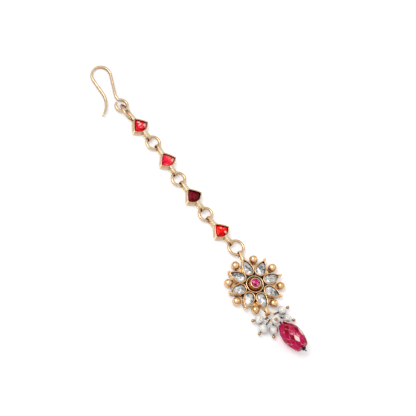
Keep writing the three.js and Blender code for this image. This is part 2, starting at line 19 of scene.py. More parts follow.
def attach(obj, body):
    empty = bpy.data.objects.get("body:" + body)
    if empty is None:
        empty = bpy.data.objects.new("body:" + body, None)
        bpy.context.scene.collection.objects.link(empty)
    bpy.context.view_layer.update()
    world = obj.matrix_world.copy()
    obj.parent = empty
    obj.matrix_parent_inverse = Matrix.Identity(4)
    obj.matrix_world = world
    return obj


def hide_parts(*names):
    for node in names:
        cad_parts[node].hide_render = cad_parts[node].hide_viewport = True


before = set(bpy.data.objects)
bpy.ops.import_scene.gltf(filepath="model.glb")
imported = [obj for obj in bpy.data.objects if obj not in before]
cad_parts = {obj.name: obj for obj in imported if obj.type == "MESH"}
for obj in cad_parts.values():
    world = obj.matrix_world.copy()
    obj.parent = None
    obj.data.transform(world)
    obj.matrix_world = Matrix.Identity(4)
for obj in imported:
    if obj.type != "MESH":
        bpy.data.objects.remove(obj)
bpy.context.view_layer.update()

LOG = logging.getLogger("maang_tikka")

MM = 0.001
BODY = "root"

# A flat loop of corners with one row each, and a 4 by 4 placing.
Outline = np.ndarray
Place = np.ndarray


# Colours and shader nodes


def linear(colour: str) -> tuple[float, float, float, float]:
    """Turns an sRGB hex colour into Blender's linear colour.

    Args:
        colour: The colour as "#RRGGBB".

    Returns:
        Red, green, blue and a full alpha.
    """
    shares = [int(colour[i : i + 2], 16) / 255 for i in (1, 3, 5)]
    # The sRGB curve is straight below its knee and a power above it.
    knee, slope, lift, power = 0.04045, 12.92, 0.055, 2.4
    values = [s / slope if s <= knee else ((s + lift) / (1 + lift)) ** power for s in shares]
    return (values[0], values[1], values[2], 1.0)


def add_node(
    tree: bpy.types.NodeTree,
    kind: str,
    settings: dict[str, object] | None = None,
    inputs: dict[str | int, object] | None = None,
) -> bpy.types.Node:
    """Adds a shader node with its settings, values and links.

    Args:
        tree: The node tree that gets the node.
        kind: The node's type name, without its "ShaderNode" beginning.
        settings: The node's own properties by name.
        inputs: Values or other nodes' sockets, by the input's name or number.

    Returns:
        The new node.
    """
    node = tree.nodes.new(f"ShaderNode{kind}")
    for name, value in (settings or {}).items():
        setattr(node, name, value)
    for name, value in (inputs or {}).items():
        if isinstance(value, bpy.types.NodeSocket):
            tree.links.new(value, node.inputs[name])
        else:
            node.inputs[name].default_value = value
    return node


def set_ramp(node: bpy.types.Node, stops: Sequence[tuple[float, str]]) -> bpy.types.NodeSocket:
    """Gives a colour ramp its stops.

    Args:
        node: The colour ramp's node.
        stops: Places from 0 to 1 and their hex colours, in rising order.

    Returns:
        The ramp's colour output.
    """
    elements = node.color_ramp.elements
    while len(elements) < len(stops):
        elements.new(1.0)
    for element, (place, colour) in zip(elements, stops):
        element.position = place
        element.color = linear(colour)
    return node.outputs["Color"]


def per_metre(size_mm: float) -> float:
    """Gives the texture scale whose features are about a size in millimetres."""
    return 1.0 / (size_mm * MM)


# Finishes


@dataclass(frozen=True)
class Finish:
    """What every finish has: a name, and one material that is made the first time it is asked for."""

    name: str

    def material(self) -> bpy.types.Material:
        """Finds or makes the finish's material.

        Returns:
            The material, with its nodes in place.
        """
        known = bpy.data.materials.get(self.name)
        if known is not None:
            return known
        made = bpy.data.materials.new(self.name)
        made.use_nodes = True
        tree = made.node_tree
        tree.nodes.clear()
        shader = add_node(tree, "BsdfPrincipled")
        add_node(tree, "OutputMaterial", inputs={"Surface": shader.outputs["BSDF"]})
        self.dress(tree, shader)
        return made

    def dress(self, tree: bpy.types.NodeTree, shader: bpy.types.Node) -> None:
        """Sets the shader's values and patterns; each finish has its own."""
        raise NotImplementedError


@dataclass(frozen=True)
class PolishedGilding(Finish):
    """Gold plating over cast and soldered silver, filed and polished by hand.

    It gives broad soft highlights, fine file marks, small casting dimples, rims rubbed pale and painted
    with a highlight, deeper gold painted on the upright walls as shade, and brown painted shade where the
    surface is shut in. Real file marks are about 0.05 mm apart, too fine to show, so they are drawn as
    wide as the dimples.

    The pairs give where a change begins and ends: from shaded wall to lit top by how far the surface
    faces up, from flat to edge by its pointiness, and from shut in to open by how much air it has round
    it.
    """

    bright: str
    warm: str
    # Edge colour: rubbed wear with a painted highlight.
    rubbed: str
    # Painted shade on the upright walls.
    wall: str
    # Painted shade where the surface is shut in.
    recess_shade: str
    roughness: float = 0.26
    cloud_mm: float = 1.8
    dimple_mm: float = 0.45
    dimple_depth_mm: float = 0.02
    recess_mm: float = 1.3
    warm_to_bright: tuple[float, float] = (0.35, 0.62)
    shaded_wall_to_lit_top: tuple[float, float] = (0.05, 0.75)
    flat_to_edge: tuple[float, float] = (0.505, 0.56)
    shut_to_open: tuple[float, float] = (0.2, 0.65)
    low_to_high: tuple[float, float] = (0.3, 0.7)
    polish_swing: tuple[float, float] = (0.75, 1.35)

    def dress(self, tree: bpy.types.NodeTree, shader: bpy.types.Node) -> None:
        """Sets the metal's colour, tarnish, polish marks and dimples.

        Args:
            tree: The material's node tree.
            shader: The surface shader that gets the look.
        """
        place = add_node(tree, "TexCoord").outputs["Object"]
        cloud = add_node(
            tree, "TexNoise", inputs={"Vector": place, "Scale": per_metre(self.cloud_mm), "Detail": 3.0}
        ).outputs["Fac"]
        warm_at, bright_at = self.warm_to_bright
        topped = set_ramp(
            add_node(tree, "ValToRGB", inputs={"Fac": cloud}),
            [(warm_at, self.warm), (bright_at, self.bright)],
        )
        form = add_node(tree, "NewGeometry").outputs
        rise = add_node(tree, "SeparateXYZ", inputs={"Vector": form["Normal"]}).outputs["Z"]
        open_air = add_node(
            tree, "AmbientOcclusion", {"samples": 6}, {"Distance": self.recess_mm * MM}
        ).outputs["AO"]
        # Each step mixes one more colour in, and None stands for the colour so far: painted shade on the
        # walls, rubbed wear with a painted highlight on the edges, and painted shade in the recesses.
        colour = topped
        for measure, (begins, ends), below, above in (
            (rise, self.shaded_wall_to_lit_top, linear(self.wall), None),
            (form["Pointiness"], self.flat_to_edge, None, linear(self.rubbed)),
            (open_air, self.shut_to_open, linear(self.recess_shade), None),
        ):
            share = add_node(
                tree, "MapRange", inputs={"Value": measure, "From Min": begins, "From Max": ends}
            ).outputs["Result"]
            pair = {6: below or colour, 7: above or colour}
            colour = add_node(tree, "Mix", {"data_type": "RGBA"}, {"Factor": share, **pair}).outputs[2]
        marks = add_node(
            tree, "TexNoise", inputs={"Vector": place, "Scale": per_metre(self.dimple_mm), "Detail": 4.0}
        ).outputs["Fac"]
        low, high = self.low_to_high
        smooth, dull = (self.roughness * swing for swing in self.polish_swing)
        rough = add_node(
            tree,
            "MapRange",
            inputs={"Value": marks, "From Min": low, "From Max": high, "To Min": smooth, "To Max": dull},
        ).outputs["Result"]
        relief = add_node(
            tree, "Bump", inputs={"Height": marks, "Strength": 0.6, "Distance": self.dimple_depth_mm * MM}
        ).outputs["Normal"]
        shader.inputs["Metallic"].default_value = 1.0
        tree.links.new(colour, shader.inputs["Base Color"])
        tree.links.new(rough, shader.inputs["Roughness"])
        tree.links.new(relief, shader.inputs["Normal"])


@dataclass(frozen=True)
class CutStone(Finish):
    """A transparent stone cut in flat facets and set over foil, or thick enough to look full inside.

    Each facet gets a painted tone of the light it throws back, some dark and a few pale glints; inside it
    lie small painted patches of light and dark, and over it a thin wet gloss. The facet's own shine is
    low, because what a real stone throws back from its depth is painted in its colour. The index is
    corundum's unless a stone gives its own.

    Attributes:
        pick: Which facets come out dark or pale.
        spread: How quickly the tone changes as facets turn away from each other.
        tilt: How far the patches lean the shine, as a share of the facet's direction.
    """

    # Painted tones of thrown-back light, from dark through body and lit to glint.
    deep: str
    body: str
    lit: str
    glint: str
    pick: float = 0.0
    spread: float = 1.6
    patch_mm: float = 0.7
    patch_share: float = 0.3
    deep_share: float = 0.25
    glint_share: float = 0.15
    tilt: float = 0.12
    gloss: float = 0.1
    ior: float = 1.77
    own_shine: float = 0.03
    coat: float = 0.14
    coat_gloss: float = 0.03

    def dress(self, tree: bpy.types.NodeTree, shader: bpy.types.Node) -> None:
        """Sets the tone of each facet, the patches inside and the gloss.

        Args:
            tree: The material's node tree.
            shader: The surface shader that gets the look.
        """
        place = add_node(tree, "TexCoord").outputs["Object"]
        facet = add_node(tree, "NewGeometry").outputs["True Normal"]
        slant = 0.37
        shifted = add_node(
            tree, "VectorMath", {"operation": "ADD"}, {0: facet, 1: (self.pick, slant * self.pick, 0.0)}
        ).outputs["Vector"]
        cells = add_node(
            tree, "TexVoronoi", inputs={"Vector": shifted, "Scale": self.spread, "Randomness": 1.0}
        )
        tone = add_node(tree, "SeparateColor", inputs={"Color": cells.outputs["Color"]}).outputs["Red"]
        shards = add_node(
            tree,
            "TexVoronoi",
            {"distance": "CHEBYCHEV"},
            {"Vector": place, "Scale": per_metre(self.patch_mm), "Randomness": 1.0},
        ).outputs["Color"]
        patch = add_node(tree, "SeparateColor", inputs={"Color": shards}).outputs["Green"]
        swing = add_node(
            tree,
            "MapRange",
            inputs={"Value": patch, "To Min": -self.patch_share, "To Max": self.patch_share},
        ).outputs["Result"]
        level = add_node(tree, "Math", {"operation": "ADD"}, {0: tone, 1: swing}).outputs["Value"]
        full_deep, full_glint, lit_lead = 0.5, 0.6, 0.1
        # The ramp paints each facet's light: dark, body, lit and a pale glint.
        colour = set_ramp(
            add_node(tree, "ValToRGB", inputs={"Fac": level}),
            [
                (self.deep_share * full_deep, self.deep),
                (self.deep_share, self.body),
                (1.0 - self.glint_share - lit_lead, self.lit),
                (1.0 - self.glint_share * full_glint, self.glint),
            ],
        )
        # The patches' colours, counted from their middle, lean the facet's direction.
        inner = shards
        for operation, inputs in (
            ("SUBTRACT", {1: (0.5, 0.5, 0.5)}),
            ("SCALE", {"Scale": self.tilt}),
            ("ADD", {1: facet}),
            ("NORMALIZE", {}),
        ):
            inner = add_node(
                tree, "VectorMath", {"operation": operation}, {0: inner, **inputs}
            ).outputs["Vector"]
        shader.inputs["Roughness"].default_value = self.gloss
        shader.inputs["IOR"].default_value = self.ior
        shader.inputs["Specular IOR Level"].default_value = self.own_shine
        shader.inputs["Coat Weight"].default_value = self.coat
        shader.inputs["Coat Roughness"].default_value = self.coat_gloss
        tree.links.new(colour, shader.inputs["Base Color"])
        tree.links.new(inner, shader.inputs["Normal"])


@dataclass(frozen=True)
class RiverPearl(Finish):
    """Freshwater pearl, grown and only tumbled clean.

    It gives a milky body with painted shade that greys it towards its underside and darkens it where
    pearls crowd together, faint grey rings, and a soft satin highlight with a sharper one over it.
    """

    body: str
    shade: str
    # Painted shade on the underside.
    underside_shade: str
    # Painted shade where pearls crowd together.
    crowd_shade: str
    ring_mm: float = 0.9
    ring_depth_mm: float = 0.04
    crowd_mm: float = 1.6
    shade_to_body: tuple[float, float] = (0.38, 0.52)
    shaded_under_to_top: tuple[float, float] = (-0.4, 0.6)
    shut_to_open: tuple[float, float] = (0.3, 0.8)
    satin: float = 0.32
    ior: float = 1.6
    coat: float = 0.6
    coat_gloss: float = 0.08

    def dress(self, tree: bpy.types.NodeTree, shader: bpy.types.Node) -> None:
        """Sets the pearl's milky colour, growth rings and satin gloss.

        Args:
            tree: The material's node tree.
            shader: The surface shader that gets the look.
        """
        place = add_node(tree, "TexCoord").outputs["Object"]
        rings = add_node(
            tree,
            "TexNoise",
            inputs={"Vector": place, "Scale": per_metre(self.ring_mm), "Detail": 3.0, "Distortion": 0.8},
        ).outputs["Fac"]
        shade_at, body_at = self.shade_to_body
        colour = set_ramp(
            add_node(tree, "ValToRGB", inputs={"Fac": rings}),
            [(shade_at, self.shade), (body_at, self.body)],
        )
        normal = add_node(tree, "NewGeometry").outputs["Normal"]
        rise = add_node(tree, "SeparateXYZ", inputs={"Vector": normal}).outputs["Z"]
        open_air = add_node(
            tree, "AmbientOcclusion", {"samples": 6}, {"Distance": self.crowd_mm * MM}
        ).outputs["AO"]
        # Painted shade: grey towards the underside and darker where pearls crowd together.
        for measure, (begins, ends), below in (
            (rise, self.shaded_under_to_top, self.underside_shade),
            (open_air, self.shut_to_open, self.crowd_shade),
        ):
            share = add_node(
                tree, "MapRange", inputs={"Value": measure, "From Min": begins, "From Max": ends}
            ).outputs["Result"]
            colour = add_node(
                tree, "Mix", {"data_type": "RGBA"}, {"Factor": share, 6: linear(below), 7: colour}
            ).outputs[2]
        relief = add_node(
            tree, "Bump", inputs={"Height": rings, "Strength": 0.4, "Distance": self.ring_depth_mm * MM}
        ).outputs["Normal"]
        shader.inputs["Roughness"].default_value = self.satin
        shader.inputs["IOR"].default_value = self.ior
        shader.inputs["Coat Weight"].default_value = self.coat
        shader.inputs["Coat Roughness"].default_value = self.coat_gloss
        tree.links.new(colour, shader.inputs["Base Color"])
        tree.links.new(relief, shader.inputs["Normal"])


@dataclass(frozen=True)
class OxidisedSilver(Finish):
    """Silver wire blackened in a sulphur bath and rubbed back.

    It gives an almost black wire with grey showing through where it was rubbed.
    """

    black: str
    rubbed: str
    patch_mm: float = 0.5
    black_to_rubbed: tuple[float, float] = (0.48, 0.68)
    roughness: float = 0.34

    def dress(self, tree: bpy.types.NodeTree, shader: bpy.types.Node) -> None:
        """Sets the blackened metal's patches and gloss.

        Args:
            tree: The material's node tree.
            shader: The surface shader that gets the look.
        """
        place = add_node(tree, "TexCoord").outputs["Object"]
        patches = add_node(
            tree, "TexNoise", inputs={"Vector": place, "Scale": per_metre(self.patch_mm), "Detail": 3.0}
        ).outputs["Fac"]
        black_at, rubbed_at = self.black_to_rubbed
        colour = set_ramp(
            add_node(tree, "ValToRGB", inputs={"Fac": patches}),
            [(black_at, self.black), (rubbed_at, self.rubbed)],
        )
        shader.inputs["Metallic"].default_value = 1.0
        shader.inputs["Roughness"].default_value = self.roughness
        tree.links.new(colour, shader.inputs["Base Color"])


@dataclass(frozen=True)
class MattBoard(Finish):
    """White matt board on a light table: it gives an even pale ground with a faint tooth.

    The light from below keeps the shadows thin. A real board's tooth is about 0.1 mm, and it is drawn
    coarser so that it shows.
    """

    paper: str
    tooth_mm: float = 0.6
    tooth_depth_mm: float = 0.02
    roughness: float = 0.9
    glow: float = 0.3

    def dress(self, tree: bpy.types.NodeTree, shader: bpy.types.Node) -> None:
        """Sets the board's colour and tooth.

        Args:
            tree: The material's node tree.
            shader: The surface shader that gets the look.
        """
        place = add_node(tree, "TexCoord").outputs["Object"]
        tooth = add_node(
            tree, "TexNoise", inputs={"Vector": place, "Scale": per_metre(self.tooth_mm)}
        ).outputs["Fac"]
        relief = add_node(
            tree, "Bump", inputs={"Height": tooth, "Strength": 0.1, "Distance": self.tooth_depth_mm * MM}
        ).outputs["Normal"]
        shader.inputs["Base Color"].default_value = linear(self.paper)
        shader.inputs["Roughness"].default_value = self.roughness
        shader.inputs["Emission Color"].default_value = linear(self.paper)
        shader.inputs["Emission Strength"].default_value = self.glow
        tree.links.new(relief, shader.inputs["Normal"])


# The colours in order: bright, warm, rubbed (wear with a painted highlight), wall (painted shade) and
# recess shade (painted) for gilding; black and rubbed for blackened wire; body, shade, painted underside
# shade and painted crowd shade for pearl; deep, body, lit and glint for stones, painted facet light.
CHAIN_GOLD = PolishedGilding("chain_gilding", "#E8B67A", "#C88A44", "#F8E4C2", "#96500E", "#3A1000")
HOOK_GOLD = PolishedGilding("hook_gilding", "#F2CE9C", "#DAA66C", "#FFF4DE", "#96602A", "#4A2008")
ROSETTE_GOLD = PolishedGilding(
    "rosette_gilding", "#FCB868", "#E49234", "#FFE8C0", "#AA5608", "#260800",
    dimple_depth_mm=0.04, recess_mm=1.0,
)
HUB_GOLD = PolishedGilding(
    "hub_gilding", "#FCC074", "#E89C40", "#FFECCA", "#CC7C1C", "#5A2404",
    dimple_depth_mm=0.04, recess_mm=0.6,
)
BALL_GOLD = PolishedGilding(
    "ball_gilding", "#FFD492", "#EEA850", "#FFF2DA", "#C4701C", "#6A3008",
    roughness=0.2, dimple_mm=0.6, dimple_depth_mm=0.14, recess_mm=0.8,
)
PIN_GOLD = PolishedGilding(
    "pin_gilding", "#A87648", "#7C5026", "#DAB484", "#5A3416", "#241006", dimple_mm=0.3
)
BLACK_WIRE = OxidisedSilver("blackened_wire", "#26211F", "#8E8882")
SILVER_WIRE = OxidisedSilver("rubbed_silver_wire", "#4A423C", "#C9C2B8")
PEARL = RiverPearl("river_pearl", "#F6F2EC", "#CEC8C0", "#A2988A", "#50463C")
FOILED_CRYSTAL = CutStone(
    "foiled_crystal", "#6A6E72", "#AEB0AE", "#CFCFCC", "#FFFFFF",
    patch_mm=0.75, patch_share=0.45, glint_share=0.16, tilt=0.3, ior=1.55,
)
CENTRE_RUBY = CutStone(
    "centre_ruby", "#7A0014", "#BE0C56", "#DC3C8C", "#F0B0CC", pick=2.3, spread=2.4, patch_mm=0.5
)
DROP_RUBY = CutStone(
    "drop_ruby", "#840208", "#AA0640", "#C01050", "#F4D8D4",
    pick=0.6, spread=2.2, patch_mm=1.6, patch_share=0.07, glint_share=0.06,
)
# Paler tones on the bevelled edges: a painted highlight along the bead's edges.
DROP_EDGE_HIGHLIGHT = CutStone(
    "drop_ruby_edge_highlights", "#9C143A", "#B02C54", "#C84C6C", "#E8A0AC", pick=1.1, patch_mm=1.2
)


class LinkStone(Enum):
    """The four stones of the chain, in order from the hook: no two are of one red."""

    BRIGHT = CutStone(
        "scarlet_stone", "#A00010", "#DC0018", "#F83848", "#FBC0C2", pick=0.4, glint_share=0.25
    )
    PINK = CutStone(
        "rose_stone", "#C80038", "#FA0848", "#FF4A48", "#FAB8B0", pick=1.7, glint_share=0.2
    )
    MAROON = CutStone(
        "maroon_stone", "#460004", "#740012", "#941E34", "#C898A4", pick=3.1, glint_share=0.08
    )
    RED = CutStone(
        "signal_red_stone", "#980000", "#F40000", "#FF1A10", "#F6C4C0", pick=4.9, glint_share=0.12
    )


# Shells, lofts and outlines


@dataclass
class Shell:
    """A surface in the making.

    Attributes:
        corners: Corner places in millimetres, one row each.
        faces: Corner numbers round each face.
    """

    corners: np.ndarray
    faces: list[tuple[int, ...]]

    def placed(self, place: Place) -> "Shell":
        """Moves the shell by a 4 by 4 placing.

        Args:
            place: The placing, in millimetres.

        Returns:
            A new shell.
        """
        moved = self.corners @ place[:3, :3].T + place[:3, 3]
        return Shell(moved, self.faces)

    def __add__(self, other: "Shell") -> "Shell":
        """Puts two shells together in one.

        Args:
            other: The second shell, kept where it is.

        Returns:
            A new shell.
        """
        shift = len(self.corners)
        shifted = [tuple(i + shift for i in face) for face in other.faces]
        return Shell(np.vstack([self.corners, other.corners]), self.faces + shifted)


def loft(sections: Sequence[np.ndarray], closed: bool = False) -> Shell:
    """Skins a row of sections that have equal counts of corners.

    Args:
        sections: The sections, each a closed loop of places.
        closed: Whether the last section joins the first; otherwise both ends are capped.

    Returns:
        The skin.
    """
    count = len(sections[0])
    bands = len(sections) if closed else len(sections) - 1
    faces: list[tuple[int, ...]] = []
    for band in range(bands):
        low = band * count
        high = ((band + 1) % len(sections)) * count
        for j in range(count):
            after = (j + 1) % count
            faces.append((low + j, low + after, high + after, high + j))
    if not closed:
        last = (len(sections) - 1) * count
        faces.append(tuple(reversed(range(count))))
        faces.append(tuple(range(last, last + count)))
    return Shell(np.vstack(sections), faces)


def swept(
    centres: np.ndarray, outs: np.ndarray, ups: np.ndarray, section: np.ndarray, shares: np.ndarray
) -> list[np.ndarray]:
    """Places one section along a path.

    Args:
        centres: Places on the path.
        outs: The section's first direction at each place.
        ups: The section's second direction at each place.
        section: The section's corners along those two directions.
        shares: The section's size at each place, as a share of its own.

    Returns:
        The placed sections.
    """
    return [
        centre + share * (section[:, :1] * out + section[:, 1:] * up)
        for centre, out, up, share in zip(centres, outs, ups, shares)
    ]


def unit_circle(sides: int) -> np.ndarray:
    """Gives the corners of a circle of radius 1."""
    angles = np.linspace(0, 2 * math.pi, sides, endpoint=False)
    return np.column_stack([np.cos(angles), np.sin(angles)])


def round_section(diameter: float, sides: int = 16) -> np.ndarray:
    """Gives the section of a round wire."""
    return unit_circle(sides) * diameter / 2


def strip_section(thickness: float, width: float, corner: float, steps: int = 4) -> np.ndarray:
    """Gives the section of a flat strip with rounded corners.

    Args:
        thickness: Size along the section's first direction.
        width: Size along its second direction.
        corner: Radius of the corners.
        steps: Edges in each corner's round.

    Returns:
        The section's corners.
    """
    points = []
    for quarter, (right, top) in enumerate([(1, 1), (-1, 1), (-1, -1), (1, -1)]):
        middle = np.array([right * (thickness / 2 - corner), top * (width / 2 - corner)])
        for step in range(steps + 1):
            angle = math.pi / 2 * (quarter + step / steps)
            points.append(middle + corner * np.array([math.cos(angle), math.sin(angle)]))
    return np.array(points)


def bezier(controls: Sequence[Sequence[float]], steps: int) -> np.ndarray:
    """Gives places along a Bezier curve.

    Args:
        controls: The curve's control places.
        steps: How many stretches the curve is cut into.

    Returns:
        The places from the curve's start to its end.
    """
    degree = len(controls) - 1
    shares = np.linspace(0, 1, steps + 1)[:, None]
    terms = [
        math.comb(degree, k) * shares**k * (1 - shares) ** (degree - k) * np.array(control)
        for k, control in enumerate(controls)
    ]
    return sum(terms)


def way_round(outline: Outline) -> float:
    """Tells which way an outline runs.

    Args:
        outline: The outline's corners.

    Returns:
        1 for anticlockwise and -1 for clockwise.
    """
    after = np.roll(outline, -1, axis=0)
    area = np.sum(outline[:, 0] * after[:, 1] - after[:, 0] * outline[:, 1])
    return 1.0 if area > 0 else -1.0


def inset(outline: Outline, wall: float) -> Outline:
    """Moves an outline inwards, keeping its corners sharp.

    Args:
        outline: The outline's corners, in the surface's plane.
        wall: How far it moves.

    Returns:
        The moved outline.
    """
    turn = way_round(outline)
    entering = outline - np.roll(outline, 1, axis=0)
    leaving = np.roll(outline, -1, axis=0) - outline
    entering /= np.linalg.norm(entering, axis=1, keepdims=True)
    leaving /= np.linalg.norm(leaving, axis=1, keepdims=True)
    a = turn * np.column_stack([-entering[:, 1], entering[:, 0]])
    b = turn * np.column_stack([-leaving[:, 1], leaving[:, 0]])
    return outline + (a + b) * wall / (1 + np.sum(a * b, axis=1, keepdims=True))


def raised(outline: Outline, height: float) -> np.ndarray:
    """Lifts an outline to a height."""
    return np.column_stack([outline, np.full(len(outline), height)])


def turned(profile: Sequence[tuple[float, float]], sides: int) -> Shell:
    """Turns a profile about the Z axis, closing both of its ends.

    Args:
        profile: Radius and height pairs, none of them on the axis.
        sides: Steps in the full turn.

    Returns:
        The turned shell.
    """
    circle = unit_circle(sides)
    return loft([raised(circle * radius, height) for radius, height in profile])


def ball(diameter: float, sides: int = 32) -> Shell:
    """Makes a ball with its poles on the Z axis.

    Args:
        diameter: The ball's diameter.
        sides: Steps round its middle.

    Returns:
        The ball about the origin.
    """
    latitudes = np.linspace(-math.pi / 2, math.pi / 2, sides // 2 + 1)[1:-1]
    radius = diameter / 2
    pole = radius * 0.02
    rounds = [(radius * math.cos(a), radius * math.sin(a)) for a in latitudes]
    return turned([(pole, -radius), *rounds, (pole, radius)], sides)


def gem_of_planes(planes: Sequence[tuple[np.ndarray, float]]) -> Shell:
    """Cuts a block down to a stone, one flat facet for each plane.

    Each plane is turned into a point at its direction divided by its distance. Every triangle of the hull
    round these points is then a corner of the stone, where the triangle's three planes meet.

    Args:
        planes: Outward direction and distance from the origin, which lies inside the stone.

    Returns:
        The stone's shell, with one face for each plane that it keeps.
    """
    normals = np.array([normal / np.linalg.norm(normal) for normal, _ in planes])
    distances = np.array([distance for _, distance in planes])
    maker = bmesh.new()
    duals = [maker.verts.new(Vector(n / d)) for n, d in zip(normals, distances)]
    maker.verts.index_update()
    numbers = {vert: i for i, vert in enumerate(duals)}
    bmesh.ops.convex_hull(maker, input=duals)
    bmesh.ops.triangulate(maker, faces=maker.faces[:])
    corners: list[np.ndarray] = []
    owners: list[set[int]] = []
    # Corners closer than this are one corner, where more than three facets meet.
    same = 0.02
    for triangle in maker.faces:
        trio = [numbers[vert] for vert in triangle.verts]
        corner = np.linalg.solve(normals[trio], distances[trio])
        near = next((i for i, c in enumerate(corners) if np.linalg.norm(c - corner) < same), None)
        if near is None:
            corners.append(corner)
            owners.append(set(trio))
        else:
            owners[near].update(trio)
    maker.free()
    places = np.array(corners)
    faces: list[tuple[int, ...]] = []
    for number, normal in enumerate(normals):
        held = [i for i, owner in enumerate(owners) if number in owner]
        if len(held) < 3:
            continue
        middle = places[held].mean(axis=0)
        across = places[held[0]] - middle
        across /= np.linalg.norm(across)
        upward = np.cross(normal, across)
        angles = [math.atan2((places[i] - middle) @ upward, (places[i] - middle) @ across) for i in held]
        faces.append(tuple(i for _, i in sorted(zip(angles, held))))
    return Shell(places, faces)


# Placing


def along(heading: float) -> np.ndarray:
    """Gives the unit step in the surface for a heading in degrees from +Y towards +X."""
    angle = math.radians(heading)
    return np.array([math.sin(angle), math.cos(angle), 0.0])


def laid(at: np.ndarray, heading: float = 0.0) -> Place:
    """Gives the placing of a part that is laid on the surface.

    Args:
        at: The place of its origin.
        heading: The way that its +Y points, in degrees from +Y towards +X.

    Returns:
        The placing.
    """
    place = np.array(Matrix.Rotation(-math.radians(heading), 4, "Z"))
    place[:3, 3] = at
    return place


def tipped(angle: float, axis: str) -> Place:
    """Gives the placing of a part tipped about one of its own axes, in degrees."""
    return np.array(Matrix.Rotation(math.radians(angle), 4, axis))


# Pieces


def show(
    name: str,
    shell: Shell,
    finishes: Sequence[Finish],
    nodes: Sequence[str],
    crease: float | None = 40.0,
    edge_width: float = 0.0,
) -> bpy.types.Object:
    """Makes a piece of the jewel and puts it in the place of its solids.

    Args:
        name: The piece's name.
        shell: Its surface, in millimetres.
        finishes: Its finish, and after it the finish of its cut-off edges if it has any.
        nodes: The solids that the piece stands for.
        crease: Edges sharper than this many degrees stay sharp; None keeps every facet flat.
        edge_width: Width of the narrow flats along a stone's edges.

    Returns:
        The piece.
    """
    mesh = bpy.data.meshes.new(name)
    mesh.from_pydata((shell.corners * MM).tolist(), [], shell.faces)
    maker = bmesh.new()
    maker.from_mesh(mesh)
    bmesh.ops.recalc_face_normals(maker, faces=maker.faces[:])
    if edge_width > 0:
        bmesh.ops.bevel(
            maker,
            geom=maker.edges[:],
            offset=edge_width * MM / 2,
            offset_type="OFFSET",
            segments=1,
            affect="EDGES",
            profile=0.5,
            material=1,
        )
    maker.to_mesh(mesh)
    maker.free()
    for finish in finishes:
        mesh.materials.append(finish.material())
    if crease is None:
        mesh.shade_flat()
    else:
        mesh.shade_smooth()
        mesh.set_sharp_from_angle(angle=math.radians(crease))
    piece = bpy.data.objects.new(name, mesh)
    bpy.context.scene.collection.objects.link(piece)
    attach(piece, BODY)
    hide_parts(*nodes)
    LOG.info("%s: %d faces", name, len(mesh.polygons))
    return piece


@dataclass
class WireRing:
    """A ring of round wire, soldered shut, with the solder's slight waist left in it."""

    half_width: float
    half_length: float
    wire: float
    seam: float = 1.2
    steps: int = 96
    waist: float = 0.05
    waist_spread: float = 0.06

    def shell(self) -> Shell:
        """Sweeps the wire round its oval.

        Returns:
            The ring about the origin, in its own XY plane.
        """
        angles = np.linspace(0, 2 * math.pi, self.steps, endpoint=False)
        flat = np.zeros(self.steps)
        centres = np.column_stack(
            [self.half_width * np.cos(angles), self.half_length * np.sin(angles), flat]
        )
        outs = np.column_stack(
            [self.half_length * np.cos(angles), self.half_width * np.sin(angles), flat]
        )
        outs /= np.linalg.norm(outs, axis=1, keepdims=True)
        ups = np.tile([0.0, 0.0, 1.0], (self.steps, 1))
        shares = 1 - self.waist * np.exp(-(((angles - self.seam) / self.waist_spread) ** 2))
        return loft(swept(centres, outs, ups, round_section(self.wire), shares), closed=True)


@dataclass
class StripLug:
    """A flat strip bent into a U, standing on edge and soldered on by both ends."""

    strip: float = 0.4
    width: float = 1.15
    corner: float = 0.11
    steps: int = 20

    def shell(self, root: float, reach: float, height: float) -> Shell:
        """Bends the strip along +Y.

        Args:
            root: How far behind y = 0 the strip's ends lie.
            reach: How far the bend stands out.
            height: Outer height of the U.

        Returns:
            The lug.
        """
        radius = (height - self.strip) / 2
        bend = reach - height / 2
        angles = np.linspace(-math.pi / 2, math.pi / 2, self.steps + 1)
        rounds = [(bend + radius * math.cos(a), height / 2 + radius * math.sin(a)) for a in angles]
        path = [(-root, self.strip / 2), *rounds, (-root, height - self.strip / 2)]
        turns = [-math.pi / 2, *angles, math.pi / 2]
        centres = np.array([(0.0, y, z) for y, z in path])
        outs = np.array([(0.0, math.cos(a), math.sin(a)) for a in turns])
        sides = np.tile([1.0, 0.0, 0.0], (len(path), 1))
        section = strip_section(self.strip, self.width, self.corner)
        return loft(swept(centres, outs, sides, section, np.ones(len(path))))

    def seat(self, height: float, wire: float, play: float, wire_height: float) -> float:
        """Works out where a wire rests in the lug's bend.

        Args:
            height: The lug's height.
            wire: The wire's diameter.
            play: Gap between the wire and the strip.
            wire_height: Height of the wire's middle.

        Returns:
            How far in from the lug's end the wire's middle lies.
        """
        inner = height / 2 - self.strip
        room = inner - wire / 2 - play
        drop = height / 2 - wire_height
        return self.strip + inner - math.sqrt(room * room - drop * drop)


STRIP_LUG = StripLug()


@dataclass
class Collet:
    """A closed-back cup of sheet metal whose rim is rolled over a stone's edge."""

    height: float
    wall: float
    floor: float
    foot_round: float = 0.1
    roll_steps: int = 8
    roll_start: float = 1.4

    def shell(self, outline: Outline) -> Shell:
        """Raises the cup over an outline.

        Args:
            outline: The cup's outer outline.

        Returns:
            The cup, closed on all sides.
        """
        roll = self.wall / 2
        profile = [(self.foot_round, 0.0), (0.0, self.foot_round)]
        profile.append((0.0, self.height - self.roll_start * roll))
        for angle in np.linspace(math.pi, 0, self.roll_steps + 1):
            profile.append((roll + roll * math.cos(angle), self.height - roll + roll * math.sin(angle)))
        profile.append((self.wall, self.floor))
        return loft([raised(inset(outline, deep), z) for deep, z in profile])


